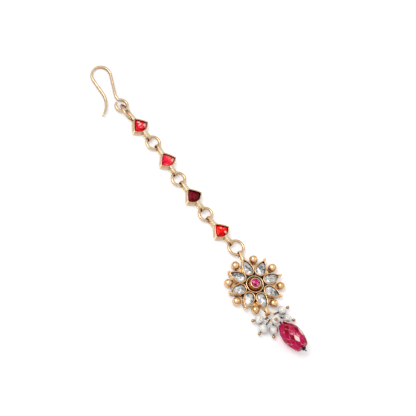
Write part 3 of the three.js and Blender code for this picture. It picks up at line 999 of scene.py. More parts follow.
@dataclass
class Crown:
    """How a stone is cut: a low crown over a thin girdle, on a flat back.

    Attributes:
        slope: Steepness of the main facets, in degrees from level.
        height: How far the girdle lies below the stone's top.
        table: Whether a flat table is cut across the top.
        girdle: Thickness of the girdle.
        star_slope: Steepness of the small facets at the corners, as a share of the main ones'.
        star_inset: How far in from the girdle they begin.
        star_rise: How high they begin there, as a share of the main facets' height.
    """

    slope: float
    height: float
    table: bool = True
    girdle: float = 0.15
    star_slope: float = 0.62
    star_inset: float = 0.35
    star_rise: float = 0.86

    def planes(
        self, outline: Outline, centre: np.ndarray, bottom: float, top: float
    ) -> list[tuple[np.ndarray, float]]:
        """Lists the facet planes of a stone over an outline.

        Args:
            outline: The stone's girdle.
            centre: A place inside the stone, which the planes are measured from.
            bottom: Height of its flat back.
            top: Height of its top.

        Returns:
            Direction and distance of each plane.
        """
        planes: list[tuple[np.ndarray, float]] = []

        def add(normal: Sequence[float], through: Sequence[float]) -> None:
            """Adds the plane with this direction through a place."""
            direction = np.array(normal, float) / np.linalg.norm(normal)
            planes.append((direction, float(direction @ (np.array(through) - centre))))

        turn = way_round(outline)
        rim = top - self.height
        lean = math.radians(self.slope)
        normals = []
        for start, end in zip(outline, np.roll(outline, -1, axis=0)):
            step = end - start
            normal = turn * np.array([step[1], -step[0]]) / np.linalg.norm(step)
            normals.append(normal)
            add((*normal, 0.0), (*start, rim))
            add((*(normal * math.sin(lean)), math.cos(lean)), (*start, rim))
            add((*(normal * math.sin(lean)), -math.cos(lean)), (*start, rim - self.girdle))
        star = math.radians(self.slope * self.star_slope)
        rise = self.star_inset * math.tan(lean) * self.star_rise
        for number, corner in enumerate(outline):
            normal = normals[number] + normals[number - 1]
            normal /= np.linalg.norm(normal)
            inner = corner - normal * self.star_inset
            add((*(normal * math.sin(star)), math.cos(star)), (*inner, rim + rise))
        if self.table:
            add((0.0, 0.0, 1.0), (*centre[:2], top))
        add((0.0, 0.0, -1.0), (*centre[:2], bottom))
        return planes


@dataclass
class StoneLink:
    """A link of the chain: a three-pointed collet with a round belly, a lug at each end and a stone."""

    length: float = 6.0
    width: float = 6.7
    height: float = 3.0
    lug_reach: float = 3.72
    wall: float = 0.45
    floor: float = 0.7
    gap: float = 0.08
    sink: float = 0.2
    solder: float = 0.42
    foot_solder: float = 0.3
    stone_middle: float = -0.1
    crown: Crown = field(default_factory=lambda: Crown(slope=34.0, height=0.55))
    shape: dict[str, tuple[float, float]] = field(
        default_factory=lambda: {
            "tip": (0.0, 0.5),
            "flank": (0.3, 0.22),
            "side": (0.5, -0.17),
            "belly_out": (0.4, -0.29),
            "belly_in": (0.26, -0.5),
            "foot": (0.0, -0.5),
        }
    )

    def outline(self, flank_steps: int, belly_steps: int) -> Outline:
        """Draws the collet's outer outline, from its tip down one side and up the other.

        Args:
            flank_steps: Steps along each straight side.
            belly_steps: Steps along each half of the belly.

        Returns:
            The outline's corners.
        """
        at = {name: np.array([x * self.width, y * self.length]) for name, (x, y) in self.shape.items()}
        flank = bezier([at["tip"], at["flank"], at["side"]], flank_steps)
        belly = bezier([at["side"], at["belly_out"], at["belly_in"], at["foot"]], belly_steps)
        down = np.vstack([flank, belly[1:]])
        up = down[-2:0:-1] * np.array([-1.0, 1.0])
        return np.vstack([down, up])

    def setting(self) -> Shell:
        """Makes the collet and its two lugs.

        Returns:
            The setting about its own middle, with its tip towards +Y.
        """
        collet = Collet(self.height, self.wall, self.floor)
        cup = collet.shell(self.outline(flank_steps=14, belly_steps=18))
        half = self.length / 2
        top = STRIP_LUG.shell(self.solder, self.lug_reach, self.height).placed(laid([0, half, 0]))
        foot = STRIP_LUG.shell(self.foot_solder, self.lug_reach, self.height)
        return cup + top + foot.placed(laid([0, -half, 0], 180))

    def stone(self) -> Shell:
        """Cuts the stone to the collet's inside.

        Returns:
            The stone in the link's own place.
        """
        outline = inset(self.outline(flank_steps=2, belly_steps=3), self.wall + self.gap)
        bottom = self.floor + self.gap
        top = self.height - self.sink
        middle = np.array([0.0, self.stone_middle * self.length, (bottom + top) / 2])
        return gem_of_planes(self.crown.planes(outline, middle, bottom, top)).placed(laid(middle))


@dataclass
class Rosette:
    """The pendant: a back plate, eight teardrop collets with clear stones, eight balls and a hub.

    Pairs of the fin, the pinched end of a petal, hold at its start and at its tip. The hub's profile
    gives radius, height and how much of the scallops shows there: up the ring's outside, over its rolled
    lip, down and across the groove, and up over the lip of the stone's cup into its mouth.
    """

    heading: float = 15.0
    petals: int = 8
    plate_diameter: float = 17.0
    plate_thickness: float = 0.6
    plate_edge: float = 0.1
    petal_inner: float = 3.45
    petal_past_plate: float = 2.25
    petal_width: float = 4.2
    petal_height: float = 2.6
    petal_wall: float = 0.42
    petal_floor: float = 0.8
    point: float = 9.87
    flank_fullness: float = 0.95
    flank_rise: float = 0.41
    fin_overlap: float = 0.5
    fin_sections: int = 5
    fin_widths: tuple[float, float] = (1.0, 0.75)
    fin_heights: tuple[float, float] = (2.3, 1.2)
    fin_middles: tuple[float, float] = (1.25, 1.8)
    fin_round: float = 0.15
    tip_bead: float = 1.1
    tip_bead_sink: float = 0.45
    gap: float = 0.08
    stone_sink: float = 0.15
    stone_middle: float = 0.6
    petal_crown: Crown = field(default_factory=lambda: Crown(slope=30.0, height=0.42, table=False))
    ridge_bearings: tuple[float, ...] = (0.0, 75.0, 180.0, 262.0)
    ridge_swing: float = 25.0
    ridge_slopes: tuple[float, float] = (5.0, 13.0)
    ridge_drop: float = 0.12
    stone_seed: int = 40
    ball_diameter: float = 3.12
    ball_past_plate: float = 0.97
    top_lug_reach: float = 2.65
    foot_lug_reach: float = 1.6
    lug_root: float = 1.1
    scallops: int = 14
    scallop_steps: int = 8
    scallop_depth: float = 0.14
    hub_profile: tuple[tuple[float, float, float], ...] = (
        (3.25, 0.0, 1.0),
        (3.25, 1.62, 1.0),
        (3.24, 1.85, 0.9),
        (3.22, 2.05, 0.4),
        (3.17, 2.2, 0.2),
        (3.09, 2.28, 0.0),
        (3.0, 2.3, 0.0),
        (2.9, 2.25, 0.0),
        (2.85, 2.1, 0.0),
        (2.75, 1.45, 0.0),
        (2.57, 1.4, 0.0),
        (2.5, 1.55, 0.0),
        (2.4, 2.1, 0.0),
        (2.15, 2.75, 0.0),
        (1.93, 3.25, 0.0),
        (1.87, 3.4, 0.0),
        (1.8, 3.48, 0.0),
        (1.7, 3.5, 0.0),
        (1.61, 3.47, 0.0),
        (1.56, 3.38, 0.0),
        (1.55, 3.2, 0.0),
        (1.55, 2.1, 0.0),
    )
    cup_mouth: float = 3.7
    cup_wall: float = 0.3
    cup_height: float = 3.5
    seat_depth: float = 1.4
    stone_rise: float = 0.25
    stone_sides: int = 10
    centre_crown: Crown = field(default_factory=lambda: Crown(slope=38.0, height=0.5))

    @property
    def petal_tip(self) -> float:
        """Distance of the petals' tips from the middle."""
        return self.plate_diameter / 2 + self.petal_past_plate

    @property
    def ball_circle(self) -> float:
        """Radius of the circle that the balls' middles lie on."""
        return self.plate_diameter / 2 + self.ball_past_plate

    def outline(self, round_steps: int, flank_steps: int) -> Outline:
        """Draws one petal collet's outer outline: a round inner end and two flanks that meet in a point.

        Args:
            round_steps: Steps round the inner end.
            flank_steps: Steps along each flank.

        Returns:
            The outline's corners.
        """
        radius = self.petal_width / 2
        middle = self.petal_inner + radius
        angles = np.linspace(math.pi, 2 * math.pi, round_steps + 1)
        inner = np.column_stack([radius * np.cos(angles), middle + radius * np.sin(angles)])
        control = (radius * self.flank_fullness, (middle + self.point) / 2 + self.flank_rise)
        rising = bezier([(radius, middle), control, (0.0, self.point)], flank_steps)[1:]
        falling = rising[-2::-1] * np.array([-1.0, 1.0])
        return np.vstack([inner, rising, falling])

    def petal(self) -> Shell:
        """Makes one petal: its collet, and the pinched end with a melted bead.

        Returns:
            The petal that points along +Y.
        """
        collet = Collet(self.petal_height, self.petal_wall, self.petal_floor)
        cup = collet.shell(self.outline(round_steps=24, flank_steps=12))
        reach = self.petal_tip - self.tip_bead / 2
        ends = (self.point - self.fin_overlap, reach)
        fin = []
        for share in np.linspace(0, 1, self.fin_sections):
            width, height, middle, y = (
                np.interp(share, (0, 1), pair)
                for pair in (self.fin_widths, self.fin_heights, self.fin_middles, ends)
            )
            section = strip_section(width, height, self.fin_round)
            fin.append(np.column_stack([section[:, 0], np.full(len(section), y), section[:, 1] + middle]))
        bead_at = laid([0.0, reach, self.petal_height - self.tip_bead_sink])
        return cup + loft(fin) + ball(self.tip_bead, sides=16).placed(bead_at)

    def petal_stone(self, number: int) -> Shell:
        """Cuts one petal's flat stone: low facets that meet in a crooked ridge, each stone its own.

        Args:
            number: The petal's number, which sets how its ridge lies.

        Returns:
            The stone of the petal that points along +Y.
        """
        outline = inset(self.outline(round_steps=6, flank_steps=3), self.petal_wall + self.gap)
        bottom = self.petal_floor + self.gap
        top = self.petal_height - self.stone_sink
        across = self.petal_inner + self.petal_width * self.stone_middle
        middle = np.array([0.0, across, (bottom + top) / 2])
        planes = self.petal_crown.planes(outline, middle, bottom, top)
        draw = np.random.default_rng(self.stone_seed + number)
        for bearing in self.ridge_bearings:
            angle = math.radians(bearing + draw.uniform(-self.ridge_swing, self.ridge_swing))
            lean = math.radians(draw.uniform(*self.ridge_slopes))
            normal = np.array(
                [math.sin(lean) * math.cos(angle), math.sin(lean) * math.sin(angle), math.cos(lean)]
            )
            drop = draw.uniform(0.0, self.ridge_drop)
            planes.append((normal, float(normal[2] * (top - middle[2] - drop))))
        return gem_of_planes(planes).placed(laid(middle))

    def hub(self) -> Shell:
        """Turns the stepped hub and cuts the scallops round its ring.

        Returns:
            The hub about the origin.
        """
        sides = self.scallops * self.scallop_steps
        circle = unit_circle(sides)
        angles = np.linspace(0, 2 * math.pi, sides, endpoint=False)
        wave = self.scallop_depth * (1 + np.cos(self.scallops * angles)) / 2
        sections = [
            raised(circle * (radius + share * wave)[:, None], height)
            for radius, height, share in self.hub_profile
        ]
        return loft(sections)

    def centre_stone(self) -> Shell:
        """Cuts the round stone of the hub.

        Returns:
            The stone in its seat.
        """
        outline = (self.cup_mouth / 2 - self.cup_wall - self.gap) * unit_circle(self.stone_sides)
        bottom = self.cup_height - self.seat_depth + self.gap
        top = self.cup_height + self.stone_rise
        middle = np.array([0.0, 0.0, (bottom + top) / 2])
        return gem_of_planes(self.centre_crown.planes(outline, middle, bottom, top)).placed(laid(middle))

    def build(self) -> None:
        """Makes the rosette's pieces in their places."""
        node = ["rosette_setting"]
        place = laid([0.0, 0.0, 0.0], self.heading)
        rim, edge, thick = self.plate_diameter / 2, self.plate_edge, self.plate_thickness
        profile = [(rim - edge, 0.0), (rim, edge), (rim, thick - edge), (rim - edge, thick)]
        plate = turned(profile, sides=96)
        show("back_plate", plate.placed(place), [ROSETTE_GOLD], node)
        show("hub", self.hub().placed(place), [HUB_GOLD], node)
        petal = self.petal()
        bead = ball(self.ball_diameter, sides=40)
        step = 360 / self.petals
        for number in range(self.petals):
            spoke = place @ laid([0.0, 0.0, 0.0], step * number)
            between = place @ laid([0.0, 0.0, 0.0], step * (number + 0.5))
            between = between @ laid([0.0, self.ball_circle, self.ball_diameter / 2])
            label = number + 1
            cup = petal.placed(spoke)
            show(f"petal_collet_{label}", cup, [ROSETTE_GOLD], node, crease=50)
            show(f"gold_ball_{label}", bead.placed(between), [BALL_GOLD], node)
            stone = self.petal_stone(number).placed(spoke)
            gem = [f"petal_stone_{label}"]
            show(f"petal_crystal_{label}", stone, [FOILED_CRYSTAL], gem, crease=None)
        top = STRIP_LUG.shell(self.lug_root, self.top_lug_reach, self.petal_height)
        foot = STRIP_LUG.shell(self.lug_root, self.foot_lug_reach, self.petal_height)
        lugs = top.placed(place @ laid([0.0, self.petal_tip, 0.0]))
        lugs = lugs + foot.placed(place @ laid([0.0, -self.petal_tip, 0.0], 180))
        show("rosette_lugs", lugs, [ROSETTE_GOLD], node)
        ruby = self.centre_stone().placed(place)
        show("hub_ruby", ruby, [CENTRE_RUBY], ["centre_stone"], crease=None)


@dataclass
class HairHook:
    """A flat strip bent into a shepherd's crook, with a round eye at its lower end.

    The strip goes round the eye, turns back through the throat and follows the bends: rows of radius and
    turn in degrees, or a straight run with no turn.
    """

    thickness: float = 0.8
    width: float = 1.4
    corner: float = 0.24
    heading: float = 1.0
    eye_radius: float = 2.1
    eye_turn: float = 305.0
    throat_run: float = 0.5
    throat_radius: float = 1.0
    throat_turn: float = 55.0
    bend_step: float = 4.0
    run_step: float = 0.5
    end_round: float = 0.3
    end_size: float = 0.15
    bends: tuple[tuple[float, float], ...] = (
        (4.5, -27.0),
        (7.3, 0.0),
        (3.45, 203.0),
        (5.5, 0.0),
        (8.1, -67.0),
    )

    def route(self) -> list[tuple[np.ndarray, float]]:
        """Walks along the strip's middle, with the eye's middle at the origin.

        Returns:
            Places and the way that the strip runs there, in radians.
        """
        direction = math.radians(self.throat_turn + 90 - self.eye_turn)
        start = math.radians(self.throat_turn - self.eye_turn)
        place = self.eye_radius * np.array([math.cos(start), math.sin(start)])
        walked = [(place, direction)]
        eye = (self.eye_radius, self.eye_turn)
        throat = (self.throat_run, 0.0), (self.throat_radius, -self.throat_turn)
        for size, turn in (eye, *throat, *self.bends):
            pace = size / self.run_step if turn == 0 else abs(turn) / self.bend_step
            steps = math.ceil(pace)
            step = math.radians(turn) / steps
            chord = size / steps if turn == 0 else 2 * size * math.sin(abs(step) / 2)
            for _ in range(steps):
                middle = direction + step / 2
                place = place + chord * np.array([math.cos(middle), math.sin(middle)])
                direction += step
                walked.append((place, direction))
        return walked

    def shell(self) -> Shell:
        """Sweeps the strip and rounds its two cut ends.

        Returns:
            The hook in its own flat plane.
        """
        walked = self.route()
        places = np.array([place for place, _ in walked])
        ways = np.array([way for _, way in walked])
        travelled = np.concatenate([[0.0], np.cumsum(np.linalg.norm(np.diff(places, axis=0), axis=1))])
        total = travelled[-1]
        # The stops crowd together at the two cut ends, where the section shrinks to round them.
        close = self.end_round * np.array([0.0, 0.1, 0.35, 0.7, 1.0])
        clear = self.end_round * 1.2
        inner = travelled[(travelled > clear) & (travelled < total - clear)]
        stops = np.concatenate([close, inner, total - close[::-1]])
        spot = np.column_stack([np.interp(stops, travelled, places[:, k]) for k in (0, 1)])
        way = np.interp(stops, travelled, ways)
        from_end = np.minimum(stops, total - stops)
        part = np.clip(1 - from_end / self.end_round, 0, 1)
        shares = np.sqrt(1 - (1 - self.end_size) * part**2)
        centres = np.column_stack([spot, np.zeros(len(stops))])
        outs = np.column_stack([-np.sin(way), np.cos(way), np.zeros(len(stops))])
        ups = np.tile([0.0, 0.0, 1.0], (len(stops), 1))
        section = strip_section(self.thickness, self.width, self.corner)
        return loft(swept(centres, outs, ups, section, shares))

    def build(self, eye: np.ndarray) -> None:
        """Puts the hook's eye at a place and lets its crook down to the surface.

        Args:
            eye: The middle of the eye.
        """
        reach = max(place[1] for place, _ in self.route()) + self.thickness / 2
        drop = math.degrees(math.asin((eye[2] - self.width / 2) / reach))
        hook = self.shell().placed(laid(eye, self.heading) @ tipped(-drop, "X"))
        show("hair_hook", hook, [HOOK_GOLD], ["hook"], crease=50)


@dataclass
class Chain:
    """Jump rings and stone links from the rosette up to the hook.

    Each row of the route is a ring and the link above it: the heading from the lower lug to the ring's
    middle, the heading from there to the upper lug, and the link's own.
    """

    rosette: Rosette
    link: StoneLink = field(default_factory=StoneLink)
    hook: HairHook = field(default_factory=HairHook)
    ring_wire: float = 1.0
    ring_outer: float = 5.65
    pendant_ring_outer: float = 6.3
    ring_play: float = 0.22
    oval_wire: float = 0.75
    oval_outer_length: float = 6.8
    oval_outer_width: float = 4.3
    oval_tilt: float = 43.0
    oval_play: float = 0.15
    rest_gap: float = 0.01
    route: tuple[tuple[float, float, float], ...] = (
        (7.0, -14.0, -4.0),
        (8.0, 3.0, 0.0),
        (5.0, 2.0, 6.0),
        (-3.0, -9.0, -1.0),
    )

    def build_links(self) -> tuple[np.ndarray, float]:
        """Lays the rings and links from the rosette upwards.

        Returns:
            The last link's middle and its heading.
        """
        rest = self.rosette.petal_height / 2
        seat = STRIP_LUG.seat(self.link.height, self.ring_wire, self.ring_play, rest)
        span = self.link.length / 2 + self.link.lug_reach - seat
        first_seat = STRIP_LUG.seat(self.rosette.petal_height, self.ring_wire, self.ring_play, rest)
        reach = self.rosette.petal_tip + self.rosette.top_lug_reach - first_seat
        end = along(self.rosette.heading) * reach
        setting = self.link.setting()
        stone = self.link.stone()
        tones = list(LinkStone)
        centre, heading = end, 0.0
        for number, (ring_in, ring_out, heading) in enumerate(self.route):
            outer = self.pendant_ring_outer if number == 0 else self.ring_outer
            radius = (outer - self.ring_wire) / 2
            middle = end + along(ring_in) * radius
            ring = WireRing(radius, radius, self.ring_wire, seam=0.6 + 1.7 * number).shell()
            ring = ring.placed(laid([middle[0], middle[1], rest]))
            from_hook = len(self.route) - number
            label = from_hook + 1
            show(f"jump_ring_{label}", ring, [CHAIN_GOLD], [f"ring_{label}"])
            centre = middle + along(ring_out) * radius + along(heading) * span
            place = laid(centre, heading)
            node = [f"link_setting_{from_hook}"]
            show(f"link_collet_{from_hook}", setting.placed(place), [CHAIN_GOLD], node)
            tone = [tones[from_hook - 1].value]
            gem = f"link_stone_{from_hook}"
            show(f"link_gem_{from_hook}", stone.placed(place), tone, [gem], crease=None)
            end = centre + along(heading) * span
        return centre, heading

    def build_end(self, centre: np.ndarray, heading: float) -> None:
        """Stands the oval ring in the last link's lug and hangs the hook on it.

        Args:
            centre: The last link's middle.
            heading: The last link's heading.
        """
        half = self.link.length / 2
        half_length = (self.oval_outer_length - self.oval_wire) / 2
        half_width = (self.oval_outer_width - self.oval_wire) / 2
        height = half_width * math.sin(math.radians(self.oval_tilt)) + self.oval_wire / 2 + self.rest_gap
        foot = centre + along(heading) * (half + self.oval_play + self.oval_wire / 2)
        oval_centre = foot + along(0.0) * half_length
        oval_centre[2] = height
        oval = WireRing(half_width, half_length, self.oval_wire, seam=2.6).shell()
        stood = laid(oval_centre) @ tipped(self.oval_tilt, "Y")
        show("oval_ring", oval.placed(stood), [CHAIN_GOLD], ["ring_1"])
        to_eye = half + self.link.lug_reach + self.ring_play + self.hook.thickness / 2
        eye = centre + along(heading) * (to_eye + self.hook.eye_radius)
        eye[2] = height
        self.hook.build(eye)

    def build(self) -> None:
        """Lays the chain link by link, and the hook at its end."""
        self.build_end(*self.build_links())


@dataclass
class FacetedDrop:
    """The oval ruby bead, drilled along its length and cut in rows of diamond facets."""

    length: float = 11.3
    width: float = 7.4
    sides: int = 10
    head_fullness: float = 0.75
    foot_fullness: float = 0.45
    edge: float = 0.16

    def shell(self) -> Shell:
        """Cuts the bead.

        Returns:
            The bead about the origin, with its length along +Y.
        """
        # Corners lie in rings, every other one turned by half a step. A facet spans two corners that are
        # two rings apart and the two corners between them.
        rows = self.sides // 2 - 1
        grid = []
        for row in range(-rows, rows + 1):
            fullness = self.head_fullness if row < 0 else self.foot_fullness
            radius = self.width / 2 * math.cos(math.pi * row / self.sides) ** fullness
            shift = ((row + rows) % 2) / 2
            angles = 2 * math.pi * (np.arange(self.sides) + shift) / self.sides
            height = np.full(self.sides, row * self.length / (2 * rows))
            grid.append(np.column_stack([radius * np.cos(angles), height, radius * np.sin(angles)]))
        planes = []
        for row in range(len(grid) - 2):
            for j in range(self.sides):
                low, high = grid[row][j], grid[row + 2][j]
                beside = j - 1 if row % 2 == 0 else (j + 1) % self.sides
                left, right = grid[row + 1][beside], grid[row + 1][j]
                normal = np.cross(high - low, right - left)
                normal /= np.linalg.norm(normal)
                reach = float(np.mean([normal @ p for p in (low, high, left, right)]))
                planes.append((normal * math.copysign(1, reach), abs(reach)))
        for end in (-1.0, 1.0):
            planes.append((np.array([0.0, end, 0.0]), self.length / 2))
        return gem_of_planes(planes)


@dataclass
class PearlCluster:
    """Six pearls and the ruby drop on headpins, hung from a small ring below the rosette.

    The rows give, for each pearl, the place of its pin on the ring, the way that the pin points, how far
    it climbs where it stands clear of the surface, and its bare wire as a share of the pearl.

    Attributes:
        lump_depth: How far a pearl's flattest side falls short of round, as a share of its radius.
        hole_spread: How wide the dimple at a drilled end is, where 1 would reach the pearl's waist.
    """

    rosette: Rosette
    drop: FacetedDrop = field(default_factory=FacetedDrop)
    heading: float = 174.0
    ring_wire: float = 0.5
    ring_outer: float = 4.1
    ring_tilt: float = 18.0
    ring_play: float = 0.2
    pin_wire: float = 0.32
    wrap_wire: float = 0.22
    shortest_wrap: float = 0.4
    loop_outer: float = 1.44
    head: float = 1.25
    head_trim: float = 0.04
    pearl: float = 3.5
    lumps: int = 5
    lump_depth: float = 0.07
    hole_depth: float = 0.12
    hole_spread: float = 0.02
    pearl_seed: int = 70
    gap: float = 0.1
    bare_drop_wire: float = 2.2
    end_bead: float = 1.6
    end_bead_length: float = 1.2
    drop_head: float = 0.6
    drop_on_ring: float = 296.0
    drop_points: float = 269.5
    rows: tuple[tuple[float, float, float | None, float], ...] = (
        (156.0, 156.0, None, 0.07),
        (198.0, 196.0, None, 0.32),
        (240.0, 236.0, None, 0.16),
        (267.0, 201.0, 69.0, 0.04),
        (356.0, 354.0, None, 0.14),
        (317.0, 317.0, None, 0.41),
    )

    @property
    def ring_radius(self) -> float:
        """Radius of the small ring's middle line."""
        return (self.ring_outer - self.ring_wire) / 2

    def ring_place(self) -> Place:
        """Works out where the small ring hangs on the rosette's foot lug.

        Returns:
            The ring's placing.
        """
        rest = self.rosette.petal_height / 2
        seat = STRIP_LUG.seat(self.rosette.petal_height, self.ring_wire, self.ring_play, rest)
        reach = self.rosette.petal_tip + self.rosette.foot_lug_reach - seat
        end = along(self.rosette.heading + 180) * reach
        tilt = math.radians(self.ring_tilt)
        centre = end + along(self.heading) * self.ring_radius * math.cos(tilt)
        centre[2] = rest + self.ring_radius * math.sin(tilt)
        return laid(centre, self.heading - 180) @ tipped(-self.ring_tilt, "X")

    def pin_place(self, on_ring: float, points: float, climb: Callable[[float], float]) -> Place:
        """Works out how a pin hangs on the small ring.

        Args:
            on_ring: The loop's place round the ring, in degrees.
            points: The way that the pin points in the surface, in degrees from +X.
            climb: Gives the pin's rise over its length from the height of its loop.

        Returns:
            The pin's placing: +Y along the pin, +Z along the ring's wire.
        """
        ring = self.ring_place()
        angle = math.radians(on_ring)
        spoke = np.array([math.cos(angle), math.sin(angle), 0.0]) * self.ring_radius
        place = ring[:3, :3] @ spoke + ring[:3, 3]
        wire = ring[:3, :3] @ np.array([-math.sin(angle), math.cos(angle), 0.0])
        rise = climb(place[2])
        flat = math.sqrt(1 - rise * rise)
        bearing = math.radians(points)
        way = np.array([math.cos(bearing) * flat, math.sin(bearing) * flat, rise])
        wire -= way * (wire @ way)
        wire /= np.linalg.norm(wire)
        made = np.eye(4)
        made[:3, 0] = np.cross(way, wire)
        made[:3, 1] = way
        made[:3, 2] = wire
        made[:3, 3] = place
        return made

    def headpin(self, length: float) -> Shell:
        """Bends a headpin: a loop round the origin and a straight shank along +Y.

        Args:
            length: From the loop's middle to the shank's end.

        Returns:
            The pin without its head.
        """
        radius = (self.loop_outer - self.pin_wire) / 2
        loop = WireRing(radius, radius, self.pin_wire, seam=math.pi / 2, steps=40, waist=0.0).shell()
        stations = np.linspace(radius, length, 12)
        centres = np.column_stack([0 * stations, stations, 0 * stations])
        across = np.tile([1.0, 0.0, 0.0], (len(stations), 1))
        ups = np.tile([0.0, 0.0, 1.0], (len(stations), 1))
        section = round_section(self.pin_wire, sides=12)
        return loop + loft(swept(centres, across, ups, section, np.ones(len(stations))))

    def coil(self, start: float, length: float) -> Shell:
        """Wraps fine wire round a shank, turn beside turn.

        Args:
            start: Where the wrap begins along +Y.
            length: How much of the shank it covers.

        Returns:
            The wrap.
        """
        turns = max(1, round(length / self.wrap_wire))
        share = np.linspace(0, 1, 14 * turns + 1)
        angles = share * turns * 2 * math.pi
        outs = np.column_stack([np.cos(angles), 0 * angles, np.sin(angles)])
        centres = outs * (self.pin_wire + self.wrap_wire) / 2
        centres[:, 1] = start + self.wrap_wire / 2 + share * (length - self.wrap_wire)
        ups = np.tile([0.0, 1.0, 0.0], (len(share), 1))
        section = round_section(self.wrap_wire, sides=8)
        return loft(swept(centres, outs, ups, section, np.ones(len(share))))

    def pearl_shell(self, number: int) -> Shell:
        """Grows one pearl, a little out of round and dimpled where it is drilled.

        Args:
            number: The pearl's number, which sets its lumps.

        Returns:
            The pearl about the origin, drilled along +Y.
        """
        draw = np.random.default_rng(self.pearl_seed + number)
        shell = ball(self.pearl, sides=48).placed(tipped(-90, "X"))
        unit = shell.corners / np.linalg.norm(shell.corners, axis=1, keepdims=True)
        lumps = np.zeros(len(unit))
        for _ in range(self.lumps):
            towards = draw.normal(size=3)
            towards /= np.linalg.norm(towards)
            lumps += draw.uniform(0.2, 1.0) * np.clip(unit @ towards, 0, 1) ** draw.uniform(2, 6)
        lumps = (lumps.max() - lumps) / float(np.ptp(lumps))
        hole = np.exp(-(((1 - np.abs(unit[:, 1])) / self.hole_spread) ** 2))
        radius = self.pearl / 2 * (1 - self.lump_depth * lumps) - self.hole_depth * hole
        return Shell(unit * radius[:, None], shell.faces)

    def drop_climb(self, loop_height: float) -> float:
        """Finds the rise at which the drop lies on its belly.

        Args:
            loop_height: Height of the pin's loop.

        Returns:
            The pin's rise over its length.
        """
        reach = self.loop_outer / 2 + self.bare_drop_wire + self.drop.length / 2
        a, b = self.drop.length / 2, self.drop.width / 2
        square = reach * reach - a * a + b * b
        half = loop_height * reach
        rest = loop_height * loop_height - b * b
        return (-half + math.sqrt(half * half - square * rest)) / square

    def build_pearl(self, number: int) -> None:
        """Makes one pearl on its pin.

        Args:
            number: The pearl's number, from 1.
        """
        on_ring, points, climbs, bare = self.rows[number - 1]
        radius = self.pearl / 2
        reach = self.loop_outer / 2 + self.gap + radius + bare * self.pearl

        def climb(loop_height: float) -> float:
            """Gives the rise that lays the pearl on the surface, or the row's own.

            Args:
                loop_height: Height of the pin's loop.

            Returns:
                The pin's rise over its length.
            """
            if climbs is None:
                return (radius - loop_height) / reach
            return math.sin(math.radians(climbs))

        place = self.pin_place(on_ring, points, climb)
        length = reach + radius + self.gap + self.head / 2
        node = [f"pearl_pin_{number}"]
        pin = self.headpin(length)
        bare_wire = reach - radius - self.loop_outer / 2
        if bare_wire > self.shortest_wrap:
            pin += self.coil(self.loop_outer / 2, bare_wire)
        show(f"pin_wire_{number}", pin.placed(place), [SILVER_WIRE], node)
        knob = ball(self.head - self.head_trim, sides=24).placed(place @ laid([0.0, length, 0.0]))
        show(f"pin_head_{number}", knob, [PIN_GOLD], node)
        pearl = self.pearl_shell(number).placed(place @ laid([0.0, reach, 0.0]))
        show(f"river_pearl_{number}", pearl, [PEARL], [f"pearl_{number}"])

    def build_drop(self) -> None:
        """Makes the ruby drop, its blackened pin and the bead below it."""
        place = self.pin_place(self.drop_on_ring, self.drop_points, self.drop_climb)
        reach = self.loop_outer / 2 + self.bare_drop_wire + self.drop.length / 2
        bead = self.drop.shell().placed(place @ laid([0.0, reach, 0.0]))
        finishes = [DROP_RUBY, DROP_EDGE_HIGHLIGHT]
        show("ruby_drop", bead, finishes, ["drop_bead"], crease=None, edge_width=self.drop.edge)
        end_at = reach + self.drop.length / 2 + self.gap + self.end_bead_length / 2
        end = ball(self.end_bead, sides=28).placed(tipped(-90, "X"))
        end.corners = end.corners * np.array([1.0, self.end_bead_length / self.end_bead, 1.0])
        end = end.placed(place @ laid([0.0, end_at, 0.0]))
        show("black_bead", end, [BLACK_WIRE], ["end_bead"])
        length = end_at + self.end_bead_length / 2 + self.gap + self.drop_head / 2
        knob = ball(self.drop_head - self.head_trim, sides=20).placed(laid([0.0, length, 0.0]))
        wrap = self.coil(self.loop_outer / 2, self.bare_drop_wire - self.gap)
        pin = (self.headpin(length) + knob + wrap).placed(place)
        show("black_headpin", pin, [BLACK_WIRE], ["drop_pin"])

    def build(self) -> None:
        """Makes the small ring and all that hangs on it."""
        ring = WireRing(self.ring_radius, self.ring_radius, self.ring_wire, seam=1.0, steps=72).shell()
        show("small_ring", ring.placed(self.ring_place()), [ROSETTE_GOLD], ["cluster_ring"])
        for number in range(1, len(self.rows) + 1):
            self.build_pearl(number)
        self.build_drop()


@dataclass(frozen=True)
class SoftBox:
    """A square soft box that faces the jewel; its place is from the jewel's middle, in metres."""

    name: str
    place: tuple[float, float, float]
    size: float
    watts: float

    def hang(self, aim: Vector) -> None:
        """Hangs the soft box and turns it to the jewel.

        Args:
            aim: The jewel's middle, in metres.
        """
        lamp = bpy.data.lights.new(self.name, "AREA")
        lamp.energy = self.watts
        lamp.size = self.size
        box = bpy.data.objects.new(self.name, lamp)
        box.location = aim + Vector(self.place)
        box.rotation_mode = "QUATERNION"
        box.rotation_quaternion = (aim - box.location).to_track_quat("-Z", "Y")
        bpy.context.scene.collection.objects.link(box)


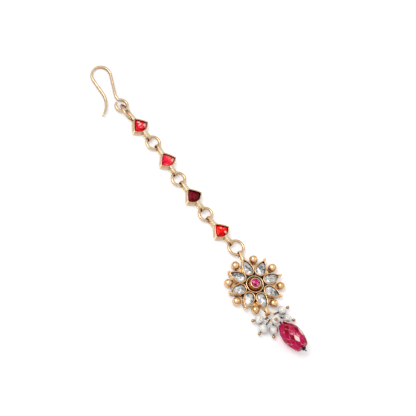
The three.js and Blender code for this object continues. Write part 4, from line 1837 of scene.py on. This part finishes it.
@dataclass
class Studio:
    """A pale board, soft boxes round it and the camera high over the jewel.

    The surround is dim at the horizon and bright overhead. The camera's distance is in millimetres and
    the board's side in metres.
    """

    target: tuple[float, float, float] = (4.76, 31.76, 1.0)
    towards_camera: tuple[float, float, float] = (-0.4125, -0.148, 0.8988)
    picture_up: tuple[float, float, float] = (0.6, 0.8, 0.0)
    lens: float = 800.0
    sensor: float = 36.0
    distance: float = 3235.0
    board: float = 3.0
    surround: str = "#FFFFFF"
    surround_strength: float = 0.76
    dusk_strength: float = 0.1
    dusk_top: float = 0.5
    boxes: tuple[SoftBox, ...] = (
        SoftBox("key_box", (-0.2, 0.24, 0.62), 0.34, 1.9),
        SoftBox("edge_box", (0.42, -0.2, 0.36), 0.12, 0.1),
    )

    def build_board(self) -> None:
        """Lays the board under the jewel."""
        half = self.board / 2
        mesh = bpy.data.meshes.new("board")
        corners = [(-half, -half, 0), (half, -half, 0), (half, half, 0), (-half, half, 0)]
        mesh.from_pydata(corners, [], [(0, 1, 2, 3)])
        mesh.materials.append(MattBoard("matt_white_board", "#F0F0F0").material())
        board = bpy.data.objects.new("board", mesh)
        bpy.context.scene.collection.objects.link(board)

    def build_lights(self) -> None:
        """Sets the surround and the soft boxes."""
        world = bpy.data.worlds.new("studio_surround")
        world.use_nodes = True
        tree = world.node_tree
        ground = tree.nodes["Background"]
        ground.inputs["Color"].default_value = linear(self.surround)
        way = add_node(tree, "TexCoord").outputs["Generated"]
        climb = add_node(tree, "SeparateXYZ", inputs={"Vector": way}).outputs["Z"]
        dim, bright = self.dusk_strength, self.surround_strength
        strength = add_node(
            tree,
            "MapRange",
            {"interpolation_type": "SMOOTHSTEP"},
            {"Value": climb, "From Max": self.dusk_top, "To Min": dim, "To Max": bright},
        ).outputs["Result"]
        tree.links.new(strength, ground.inputs["Strength"])
        bpy.context.scene.world = world
        for box in self.boxes:
            box.hang(Vector(self.target) * MM)

    def build_camera(self) -> None:
        """Stands the camera at the picture's angle."""
        data = bpy.data.cameras.new("camera")
        data.lens = self.lens
        data.sensor_width = self.sensor
        data.clip_start, data.clip_end = 0.1, 10.0
        camera = bpy.data.objects.new("camera", data)
        back = Vector(self.towards_camera).normalized()
        tip = Vector((0, 0, 1)).rotation_difference(back)
        up = tip @ Vector(self.picture_up)
        side = up.cross(back)
        turn = Matrix((side, up, back)).transposed().to_4x4()
        turn.translation = (Vector(self.target) + back * self.distance) * MM
        camera.matrix_world = turn
        bpy.context.scene.collection.objects.link(camera)
        bpy.context.scene.camera = camera

    def build(self) -> None:
        """Sets up the studio."""
        self.build_board()
        self.build_lights()
        self.build_camera()
        bpy.context.scene.view_settings.view_transform = "Standard"


def main() -> None:
    """Builds the studio and the jewel's parts in order."""
    logging.basicConfig(level=logging.INFO, format="%(name)s: %(message)s", force=True)
    Studio().build()
    rosette = Rosette()
    rosette.build()
    Chain(rosette).build()
    PearlCluster(rosette).build()


if __name__ == "__main__":
    main()
